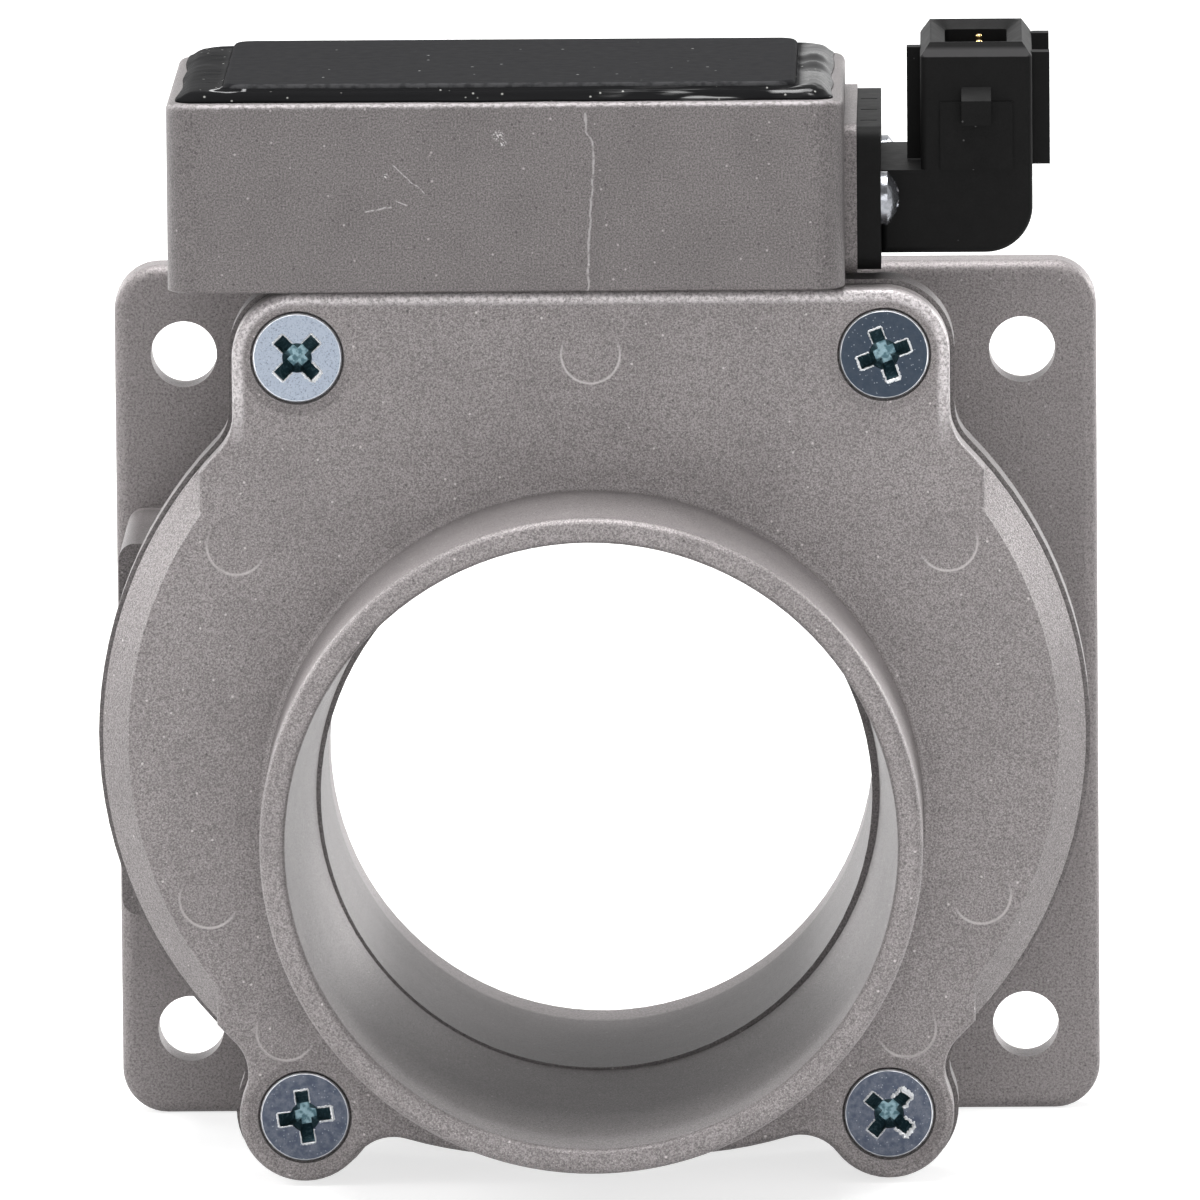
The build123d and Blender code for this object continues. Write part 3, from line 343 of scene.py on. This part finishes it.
def body_marks_and_painted_light(s):
    """Painted light on the rear flange; the flow line of the electronics box with a painted highlight and
    painted shade beside it; its scratches and chips; and a painted highlight along the box rim.
    """
    # Painted light: the rear flange is made lighter.
    flange = s.ramp(s.y, FLANGE_FRONT_Y - 2 * MM, FLANGE_FRONT_Y)
    s.paint(s.product(flange, 0.35, s.ramp(s.noise(0.3, 3.0, 0.7), 0.3, 0.6)), FLANGE_PAINTED_LIGHT)

    front = s.ramp(s.y, BOX_FRONT_Y, BOX_FRONT_Y - 0.3 * MM)
    jog = s.ramp(s.z, 84.6 * MM, 83.0 * MM, 0.0, 0.9 * MM)
    drift = s.ramp(s.z, 83.0 * MM, 66.0 * MM, 0.0, -0.8 * MM)
    wave = s.product(s.offset(s.noise(1.6, 3.0), 0.5), 0.8 * MM)
    shift = s.math("ADD", s.math("ADD", wave, jog), drift)
    across = s.offset(s.x, s.math("ADD", shift, -0.2 * MM))
    # The flow line is a real casting mark: its lighter stroke is a painted highlight, and the darker band
    # along one side painted shade.
    line = s.product(s.stroke(across, s.z, 65 * MM, 86.8 * MM, 0.2 * MM), front)
    s.paint(s.product(line, s.ramp(s.noise(0.7, 2.0), 0.3, 0.55, 0.35, 1.0), 0.45), FLOW_LINE_HIGHLIGHT)
    s.raise_by(line, 0.04)
    # Painted shade along one side of the flow line.
    shaded_flank = s.product(s.inside(across, 0.2 * MM, 1.4 * MM, 0.5 * MM), front)
    s.paint(s.product(shaded_flank, 0.15), FLOW_SHADE)

    ragged = s.ramp(s.noise(0.5, 3.0), 0.3, 0.6, 0.15, 1.0)
    bend = s.product(wave, 0.8)
    for x, z, slope, half in SCRATCHES_MM:
        along = s.offset(s.x, x * MM)
        height = s.offset(s.offset(s.z, z * MM), s.product(along, slope))
        bent = s.math("ADD", height, bend)
        scratch = s.stroke(bent, along, -half * MM, half * MM, 0.14 * MM)
        s.paint(s.product(scratch, ragged, front, 0.5), SCRATCH)
    for x, z, size in CHIPS_MM:
        near = s.length(s.offset(s.x, x * MM), s.offset(s.z, z * MM))
        chip = s.product(s.ramp(near, size * MM, 0.4 * size * MM), s.ramp(s.noise(0.25, 2.0), 0.5, 0.62))
        s.paint(s.product(chip, front, 0.8), CHIP)

    # Painted highlight along the rounded top edge of the box rim and of its side walls, with ragged ends.
    edge = s.math("ADD", s.z, s.product(s.offset(s.noise(0.8, 3.0), 0.5), 0.9 * MM))
    rim = s.product(s.ramp(edge, 87.35 * MM, 87.75 * MM), s.ramp(s.y, BOX_EDGE_Y, BOX_EDGE_Y - 0.2 * MM))
    left = s.inside(s.x, BOX_LEFT_X, BOX_LEFT_X + 0.3 * MM)
    right = s.inside(s.x, BOX_RIGHT_X, BOX_RIGHT_X + 0.4 * MM)
    high = s.ramp(s.z, 87.4 * MM, 87.8 * MM)
    box_rim_highlight = s.math("MAXIMUM", rim, s.product(s.math("MAXIMUM", left, right), high))
    s.paint(s.product(box_rim_highlight, s.ramp(s.noise(0.4, 3.0), 0.35, 0.6, 0.1, 0.9)), RIM_PAINTED_HIGHLIGHT)


def zinc_head(name):
    """Dark zinc-plated screws: mottled face, a painted highlight on the rim towards the upper right, a glossy
    teal recess with painted glints, the upper left one pale.
    """
    s = Shader(name, (0.3, 0.34, 0.42), 0.8, 0.35)
    mottle = s.noise(1.1, 4.0, 0.65)
    s.color = s.mix(s.ramp(mottle, 0.35, 0.65), (0.045, 0.055, 0.08), (0.09, 0.1, 0.125))
    upper = s.ramp(s.z, UPPER_SCREWS_Z, UPPER_SCREWS_Z + MM)
    s.paint(s.product(s.ramp(s.x, MM, -MM), upper, 0.75), ZINC_PALE)
    s.paint(s.product(s.ramp(s.noise(0.22, 3.0, 0.7), 0.52, 0.68), 0.6), ZINC_DARK)
    s.paint(s.product(s.ramp(s.x, -MM, MM), upper, 0.85), ZINC_NAVY)
    s.paint(s.product(s.spots(0.5, 0.2, 0.2), 0.35), ZINC_SPECK)

    center_z = s.ramp(s.z, UPPER_SCREWS_Z, UPPER_SCREWS_Z + MM, SCREW_LOW_Z, SCREW_TOP_Z)
    off_x = s.offset(s.math("ABSOLUTE", s.x), SCREW_X)
    off_z = s.offset(s.z, center_z)
    radius = s.length(off_x, off_z)
    face = s.ramp(s.y, HEAD_Y + 0.3 * MM, HEAD_Y + 0.16 * MM)
    wobble = s.product(s.noise(1.4, 2.0), 0.12 * MM)
    # Painted highlight on the head's rim, brightest towards the upper right.
    rim = s.ramp(s.math("ADD", radius, wobble), HEAD_RIM_R, HEAD_RIM_R + 0.08 * MM)
    lit = s.ramp(s.math("ADD", off_x, off_z), -4 * MM, 5 * MM, 0.45, 1.0)
    s.paint(s.product(rim, face, lit), ZINC_RIM_HIGHLIGHT)

    under_face = s.ramp(s.y, HEAD_Y + 0.1 * MM, HEAD_Y + 0.3 * MM)
    deep = s.product(under_face, s.ramp(radius, RECESS_R, RECESS_R - 0.2 * MM))
    s.paint(deep, RECESS_TEAL)
    # Painted glints on the recess walls and its floor.
    s.paint(s.product(s.ramp(s.noise(0.45, 3.0, 0.6), 0.5, 0.64), deep, 0.4), RECESS_PAINTED_GLINT)
    recess_floor = s.product(s.ramp(radius, 1.7 * MM, 1.0 * MM), deep)
    facet_glints = s.ramp(s.noise(0.7, 1.0), 0.42, 0.6, 0.0, 0.55)
    s.paint(s.product(recess_floor, facet_glints), RECESS_PAINTED_GLINT)
    s.set_by(mottle, 0.26, 0.42, "Roughness")
    s.raise_by(s.noise(0.5, 3.0), 0.03)
    return s.done()


def poured(name):
    """Black potting compound: dull, with glossy streaks, a glossy crescent with a painted highlight, a few
    dust specks and painted sparkle near the right end.
    """
    s = Shader(name, (0.01, 0.01, 0.0105), 0.0, 0.16, 0.01)
    streaks = s.noise(1.0, 2.0, 0.5, stretch=(0.12, 1.2, 1.2))
    front_y = s.ramp(s.y, COMPOUND_FRONT_Y, COMPOUND_FRONT_Y - 0.6 * MM)
    front = s.product(front_y, s.ramp(s.x, 0, 14 * MM))
    right = s.ramp(s.x, 25.4 * MM, 26.6 * MM)
    corner = s.length(s.offset(s.x, -43.5 * MM), s.offset(s.y, -61.2 * MM))
    crescent = s.inside(corner, 1.9 * MM, 2.3 * MM, 0.12 * MM)
    wet = s.math("MAXIMUM", s.product(front, s.ramp(streaks, 0.5, 0.62)), s.product(right, 0.06))
    wet = s.math("MAXIMUM", wet, crescent)
    s.set_by(wet, 0.0002, 0.3, "Specular IOR Level")
    s.paint(s.product(s.spots(1.6, 0.12, 0.4), 0.7), COMPOUND_DUST_AND_SPARKLE)
    # Painted sparkle highlights near the folded right end.
    sparkle_spot = s.length(s.offset(s.x, 26.8 * MM), s.offset(s.y, -52 * MM))
    near = s.product(right, s.ramp(sparkle_spot, 8 * MM, 3 * MM))
    s.paint(s.product(s.ramp(s.noise(0.35, 3.0), 0.56, 0.66), near, 0.4), COMPOUND_DUST_AND_SPARKLE)
    # Painted highlight on the glossy crescent at the front left corner.
    s.paint(s.product(crescent, 0.35), COMPOUND_CRESCENT_HIGHLIGHT)
    s.raise_by(s.noise(3.0, 2.0), 0.05)
    return s.done()


def lid_finish(name):
    """Matt black moulding with a painted highlight along its front top edge and light dust specks."""
    s = Shader(name, (0.0125, 0.0125, 0.0135), 0.0, 0.7, 0.02)
    s.paint(s.ramp(s.noise(0.25, 2.0), 0.35, 0.7, 0.0, 0.3), (0.009, 0.009, 0.01))
    # Painted highlight along the lid's front top edge.
    front_y = s.ramp(s.y, -61.3 * MM, -61.6 * MM)
    edge = s.product(front_y, s.ramp(s.z, LID_EDGE_Z, LID_EDGE_Z + 0.3 * MM))
    s.paint(s.product(edge, s.ramp(s.noise(0.9, 3.0), 0.3, 0.6, 0.3, 0.9)), LID_EDGE_HIGHLIGHT)
    s.paint(s.product(s.spots(3.4, 0.07, 0.9), 0.8), LID_DUST)
    s.set_by(s.noise(1.5, 2.0), 0.6, 0.78, "Roughness")
    s.raise_by(s.noise(0.3, 2.0), 0.012)
    return s.done()


def connector_finish(name):
    """Black glass-filled moulding with a painted highlight on the front bevel and a few scuffs."""
    s = Shader(name, (0.007, 0.007, 0.007), 0.0, 0.6, 0.08)
    s.paint(s.ramp(s.noise(0.3, 2.0), 0.35, 0.7, 0.0, 0.3), (0.004, 0.004, 0.004))
    # Painted highlight on the connector's upward-facing front bevel.
    front_y = s.ramp(s.y, SOCKET_BEVEL_Y, SOCKET_BEVEL_Y - 0.4 * MM)
    bevel = s.product(s.ramp(s.z, SOCKET_BEVEL_Z, SOCKET_BEVEL_Z + 0.2 * MM), front_y)
    s.paint(s.product(bevel, 0.8), BEVEL_PAINTED_HIGHLIGHT)
    s.paint(s.product(s.spots(2.6, 0.06, 0.5), 0.6), SCUFF_GREY)
    s.set_by(s.noise(1.8, 2.0), 0.5, 0.66, "Roughness")
    s.raise_by(s.noise(0.35, 2.0), 0.012)
    return s.done()


def plain(name, color, metallic, roughness, grain=0.3, depth=0.01, shade=0.25):
    """Plain finish with a little grain in colour, roughness and bump."""
    s = Shader(name, color, metallic, roughness)
    fine = s.noise(grain, 2.0)
    s.paint(s.ramp(fine, 0.35, 0.7, 0.0, shade), scaled(color, 0.6))
    s.set_by(s.noise(grain * 6, 2.0), max(0.02, roughness - 0.07), roughness + 0.07, "Roughness")
    s.raise_by(fine, depth)
    return s.done()


slots = {
    "cast_body": cast_metal("cast_body", (0.085, 0.078, 0.078), (0.235, 0.217, 0.217), body_marks_and_painted_light),
    "cast_cover": cast_metal("cast_cover", (0.13, 0.12, 0.12), (0.375, 0.347, 0.347), cover_painted_highlights),
    "gasket": plain("gasket", (0.03, 0.028, 0.026), 0.0, 0.85),
    "cover_screw_zinc": zinc_head("cover_screw_zinc"),
    "lid_plastic": lid_finish("lid_plastic"),
    "compound": poured("compound"),
    "plate_metal": plain("plate_metal", (0.6, 0.6, 0.6), 1.0, 0.35),
    "board_ceramic": plain("board_ceramic", (0.8, 0.79, 0.74), 0.0, 0.5),
    "transistor_plastic": plain("transistor_plastic", (0.02, 0.02, 0.02), 0.0, 0.5),
    "chip_plastic": plain("chip_plastic", (0.02, 0.02, 0.021), 0.0, 0.45),
    "capacitor_ceramic": plain("capacitor_ceramic", (0.4, 0.3, 0.2), 0.0, 0.5),
    "resistor_film": plain("resistor_film", (0.04, 0.045, 0.05), 0.0, 0.4),
    "holder_plastic": plain("holder_plastic", (0.03, 0.03, 0.03), 0.0, 0.5),
    "ring_rubber": plain("ring_rubber", (0.015, 0.015, 0.015), 0.0, 0.6),
    "small_screw_zinc": plain("small_screw_zinc", (0.3, 0.31, 0.335), 0.9, 0.22, 0.8, 0.05, 0.8),
    "pin_metal": plain("pin_metal", (0.6, 0.6, 0.58), 1.0, 0.25),
    "element_glass": plain("element_glass", (0.7, 0.7, 0.67), 0.0, 0.15),
    "lead_metal": plain("lead_metal", (0.65, 0.65, 0.62), 1.0, 0.3),
    "connector_plastic": connector_finish("connector_plastic"),
    "terminal_gold": plain("terminal_gold", (0.85, 0.6, 0.25), 1.0, 0.22),
}
burr_metal = plain("burr_metal", (0.9, 0.92, 0.94), 0.25, 0.35, 0.2, 0.02, 0.2)

for entry in frame["record"]["subparts"]:
    holder = nodes[entry["node"]]
    for index in range(len(holder.material_slots)):
        holder.material_slots[index].material = slots[entry["material_slot"]]


# Pieces


def add_mesh(name, points, faces, material, stands_for=None):
    """Adds a mesh that rides on the body and takes a material slot."""
    mesh = bpy.data.meshes.new(name)
    mesh.from_pydata(points, [], faces)
    mesh.update()
    mesh.materials.append(material)
    piece = bpy.data.objects.new(name, mesh)
    bpy.context.scene.collection.objects.link(piece)
    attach(piece, "root")
    if stands_for:
        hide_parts(stands_for)
    return piece


# Poured compound, in millimetres until the mesh is made

LID_LOW, LID_HIGH, LID_R = (-44.3, -62.0), (25.1, -15.6), 2.4
WELL_LOW, WELL_HIGH, WELL_R = (-49.3, -64.2), (29.1, -14.8), 2.4
ARC_STEPS = 10
SIDE_STEPS = 90
RIM_Z = 88.0
COMPOUND_FOOT_Z = 86.4
COMPOUND_RISE = 0.95
COMPOUND_PROFILE = (
    (0.0, 1.55),
    (0.06, 1.3),
    (0.2, 1.22),
    (0.4, 1.3),
    (0.6, 1.3),
    (0.78, 1.15),
    (0.9, 0.85),
    (1.0, 0.5),
)
LAP_LEAST, LAP_MOST = 0.08, 1.1
FOLDS_X = 26.5


def rounded_outline(low, high, radius):
    """Points round a rounded rectangle, the same number for every size."""
    corners = ((1, -1, -90), (1, 1, 0), (-1, 1, 90), (-1, -1, 180))
    points = []
    for side_x, side_y, start in corners:
        center = Vector((
            (high if side_x > 0 else low)[0] - side_x * radius,
            (high if side_y > 0 else low)[1] - side_y * radius,
        ))
        for step in range(ARC_STEPS + 1):
            angle = math.radians(start + 90 * step / ARC_STEPS)
            points.append(center + radius * Vector((math.cos(angle), math.sin(angle))))
    full = []
    for index, point in enumerate(points):
        full.append(point)
        if index % (ARC_STEPS + 1) == ARC_STEPS:
            after = points[(index + 1) % len(points)]
            full += [point.lerp(after, (step + 1) / SIDE_STEPS) for step in range(SIDE_STEPS - 1)]
    return full


def compound_section(inner, outer):
    """Points of one cross section, from the lid's foot over the swell to the lap on the rim and back down."""
    across = outer - inner
    lap = 0.45 + 0.6 * (noise.noise(Vector((outer.x, outer.y, 0)) * 0.11) + 0.1)
    lap = max(LAP_LEAST, min(LAP_MOST, lap))
    heap = 1 + 0.06 * noise.noise(Vector((outer.x, outer.y, 7)) * 0.1)
    folded = max(0.0, min(1.0, (outer.x - FOLDS_X) / 2))
    fold = folded * (0.5 + 0.5 * math.sin(outer.y * 0.42 + 2.2 * math.sin(outer.y * 0.17)))
    ring = [(inner.x, inner.y, COMPOUND_FOOT_Z)]
    for share, rise in COMPOUND_PROFILE:
        place = inner + across * share
        swell = fold * 0.5 * math.sin(math.pi * share)
        ripple = 0.03 * noise.noise(Vector((place.x, place.y, 3)) * 0.5)
        top = RIM_Z + rise * heap * COMPOUND_RISE + swell + ripple * min(1, 4 * share)
        ring.append((place.x, place.y, top))
    outward = across.normalized()
    edge = outer + outward * lap * 0.7
    tip = outer + outward * lap
    ring.append((edge.x, edge.y, RIM_Z + 0.3))
    ring.append((tip.x, tip.y, RIM_Z + 0.04))
    ring.append((outer.x, outer.y, RIM_Z + 0.02))
    ring.append((outer.x, outer.y, COMPOUND_FOOT_Z))
    return ring


def poured_compound():
    """Ring of compound that climbs the lid and hangs over the box rim in uneven waves."""
    inner_outline = rounded_outline(LID_LOW, LID_HIGH, LID_R)
    outer_outline = rounded_outline(WELL_LOW, WELL_HIGH, WELL_R)
    rings = [compound_section(inner, outer) for inner, outer in zip(inner_outline, outer_outline)]
    rows, columns = len(rings), len(rings[0])
    faces = []
    for row in range(rows):
        for column in range(columns):
            after, beside = (row + 1) % rows, (column + 1) % columns
            faces.append((
                row * columns + column,
                after * columns + column,
                after * columns + beside,
                row * columns + beside,
            ))
    points = [tuple(value * MM for value in point) for ring in rings for point in ring]
    piece = add_mesh("poured_compound", points, faces, slots["compound"], "sealing_compound")
    piece.data.polygons.foreach_set("use_smooth", [True] * len(faces))


# Ridges round the cross recesses, in millimetres from the screw's axis until the mesh is made

BURR_START = 1.66
WING_HALF = 0.825
WING_END = 3.25
BURR_STEP = 0.1
BURR_WIDTH = 0.13
BURR_END_WIDTH = 0.07
BURR_HEIGHT = 0.11
BURR_SUNK = 0.005
RAGGED = ({3: 2.2}, {3: 2.4, 2: 1.4}, {0: 2.0}, {0: 3.6, 3: 3.6})


def wing_path():
    """Points up one side of a wing, across its end and back, each with its outward direction."""
    runs = (
        (Vector((BURR_START, WING_HALF)), Vector((WING_END, WING_HALF)), Vector((0, 1)), 0.0),
        (Vector((WING_END, WING_HALF)), Vector((WING_END, -WING_HALF)), Vector((1, 0)), 1.0),
        (Vector((WING_END, -WING_HALF)), Vector((BURR_START, -WING_HALF)), Vector((0, -1)), 0.0),
    )
    path = []
    for start, end, out, end_share in runs:
        steps = max(2, round((end - start).length / BURR_STEP))
        path += [(start.lerp(end, step / steps), out, end_share) for step in range(steps + 1)]
    return path


def burr_section(place, out, end_share, seed, rough):
    """Foot, crest and foot of a ridge at one place of its path, each with its height."""
    wander = 0.05 * rough * noise.noise(seed * 1.7)
    width = BURR_WIDTH + BURR_END_WIDTH * end_share
    width *= (1 + 0.5 * noise.noise(seed * 2.1)) * (0.5 + 0.5 * rough)
    height = BURR_HEIGHT * (1 + 0.5 * noise.noise(seed * 2.9)) * (0.7 + 0.3 * rough)
    return (
        (place + out * (wander - 0.3 * width), 0.0),
        (place + out * (wander + 0.3 * width), height),
        (place + out * (wander + width), 0.0),
    )


def burrs(index):
    """Bright ridges that the driver has raised round the wings of one cross recess."""
    center_x = (-SCREW_X, SCREW_X)[index % 2] / MM
    center_z = (SCREW_TOP_Z, SCREW_LOW_Z)[index // 2] / MM
    points, faces = [], []
    for wing in range(4):
        turn = math.radians(SCREW_TURNS[index] + 90 * wing)
        rough = RAGGED[index].get(wing, 1.0)
        first = len(points)
        for step, (place, out, end_share) in enumerate(wing_path()):
            seed = Vector((place.x * 2.3, place.y * 2.3, 5.0 * index + wing))
            for spot, lift in burr_section(place, out, end_share, seed, rough):
                x = center_x + spot.x * math.cos(turn) - spot.y * math.sin(turn)
                z = center_z + spot.x * math.sin(turn) + spot.y * math.cos(turn)
                points.append((x * MM, HEAD_Y - (lift - BURR_SUNK) * MM, z * MM))
            if step:
                base = first + 3 * step
                for side in range(3):
                    other = (side + 1) % 3
                    faces.append((base - 3 + side, base - 3 + other, base + other, base + side))
        last = len(points) - 3
        faces += [(first, first + 2, first + 1), (last, last + 1, last + 2)]
    add_mesh(f"recess_burr_{index + 1}", points, faces, burr_metal)


poured_compound()
for number in range(len(SCREW_TURNS)):
    burrs(number)


# Floor, world and lamps

FLOOR_Z = cad_box[0][2]
FLOOR_SIZE = 14.0
FLOOR_GREY = 0.5
FLOOR_GLOW = 0.72
ROOM_LEVEL = 0.3
WHITE = (1, 1, 1, 1)
AIM = (0, -0.05, 0.02)
LAMPS = (
    ("top", (0.0, -0.05, 2.0), 1.2, 64),
    ("front", (0.1, -2.1, 0.35), 0.8, 9),
    ("left", (-1.7, -1.0, 0.3), 0.9, 6),
    ("upper_left", (-1.5, -0.3, 1.3), 1.0, 10),
    ("right", (1.0, -1.75, 0.5), 0.9, 4),
    ("back_left", (-1.5, 1.3, 0.6), 0.9, 22),
    ("back_right", (1.5, 1.3, 0.6), 0.9, 32),
)


def combine(tree, operation, a, b):
    """Result of a Math node with two linked values."""
    node = tree.nodes.new("ShaderNodeMath")
    node.operation = operation
    tree.links.new(a, node.inputs[0])
    tree.links.new(b, node.inputs[1])
    return node.outputs[0]


def map_range(tree, value, low, high, start, end):
    """Output of a Map Range node."""
    node = tree.nodes.new("ShaderNodeMapRange")
    tree.links.new(value, node.inputs["Value"])
    for name, number in zip(("From Min", "From Max", "To Min", "To Max"), (low, high, start, end)):
        node.inputs[name].default_value = number
    return node.outputs[0]


def visible_rays(tree):
    """1 for camera, glossy and transmission rays."""
    path = tree.nodes.new("ShaderNodeLightPath")
    total = path.outputs["Is Camera Ray"]
    for name in ("Is Glossy Ray", "Is Transmission Ray"):
        total = combine(tree, "MAXIMUM", total, path.outputs[name])
    return total


def white_floor():
    """Pale floor that keeps the shadow and glows only for rays that see it."""
    bpy.ops.mesh.primitive_plane_add(size=FLOOR_SIZE, location=(0, 0, FLOOR_Z))
    floor = bpy.context.object
    floor.name = "floor"
    material = bpy.data.materials.new("floor_white")
    material.use_nodes = True
    tree = material.node_tree
    bsdf = tree.nodes["Principled BSDF"]
    bsdf.inputs["Base Color"].default_value = (FLOOR_GREY, FLOOR_GREY, FLOOR_GREY, 1)
    bsdf.inputs["Roughness"].default_value = 0.9
    bsdf.inputs["Specular IOR Level"].default_value = 0.0
    bsdf.inputs["Emission Color"].default_value = WHITE
    glow = map_range(tree, visible_rays(tree), 0, 1, 0, FLOOR_GLOW)
    tree.links.new(glow, bsdf.inputs["Emission Strength"])
    floor.data.materials.append(material)


def white_world():
    """World that is white to the camera and behind the object, and dim elsewhere."""
    world = bpy.data.worlds.new("studio")
    world.use_nodes = True
    bpy.context.scene.world = world
    tree = world.node_tree
    background = tree.nodes["Background"]
    background.inputs["Color"].default_value = WHITE
    split = tree.nodes.new("ShaderNodeSeparateXYZ")
    tree.links.new(tree.nodes.new("ShaderNodeTexCoord").outputs["Generated"], split.inputs[0])
    behind = map_range(tree, split.outputs[1], -0.1, 0.3, ROOM_LEVEL, 1.0)
    shown = combine(tree, "MULTIPLY", behind, visible_rays(tree))
    camera_ray = tree.nodes.new("ShaderNodeLightPath").outputs["Is Camera Ray"]
    least = map_range(tree, camera_ray, 0, 1, ROOM_LEVEL, 1.0)
    tree.links.new(combine(tree, "MAXIMUM", shown, least), background.inputs["Strength"])


def lamp(name, place, size, power):
    """Square soft lamp that points at the object."""
    data = bpy.data.lights.new(name, "AREA")
    data.size = size
    data.energy = power
    obj = bpy.data.objects.new(name, data)
    obj.location = place
    direction = Vector(AIM) - Vector(place)
    obj.rotation_euler = direction.to_track_quat("-Z", "Y").to_euler()
    bpy.context.scene.collection.objects.link(obj)


white_floor()
white_world()
for settings in LAMPS:
    lamp(*settings)


# Camera: where the photograph was taken from, in the row frame

IMAGE_PX = 1200
FOCAL_PX = 21245.9
SENSOR_MM = 36.0
DISTANCE = 2.6
FAR_CLIP = 30
TARGET = Vector((0.57, -40.0, 23.62)) * MM
YAW = math.radians(0.971)
ELEVATION = math.radians(8.160)
ROLL = math.radians(-0.482)


def photo_camera():
    """Camera of the photograph."""
    back = Vector((
        math.sin(YAW) * math.cos(ELEVATION),
        -math.cos(YAW) * math.cos(ELEVATION),
        math.sin(ELEVATION),
    ))
    right = Vector((math.cos(YAW), math.sin(YAW), 0))
    up = back.cross(right)
    turned_right = right * math.cos(ROLL) + up * math.sin(ROLL)
    turned_up = up * math.cos(ROLL) - right * math.sin(ROLL)
    data = bpy.data.cameras.new("camera")
    data.sensor_width = SENSOR_MM
    data.lens = FOCAL_PX / IMAGE_PX * SENSOR_MM
    data.clip_end = FAR_CLIP
    camera = bpy.data.objects.new("camera", data)
    axes = Matrix((turned_right, turned_up, back)).transposed().to_4x4()
    camera.matrix_world = Matrix.Translation(TARGET + back * DISTANCE) @ axes
    bpy.context.scene.collection.objects.link(camera)
    bpy.context.scene.camera = camera


photo_camera()
bpy.context.scene.view_settings.view_transform = "Standard"
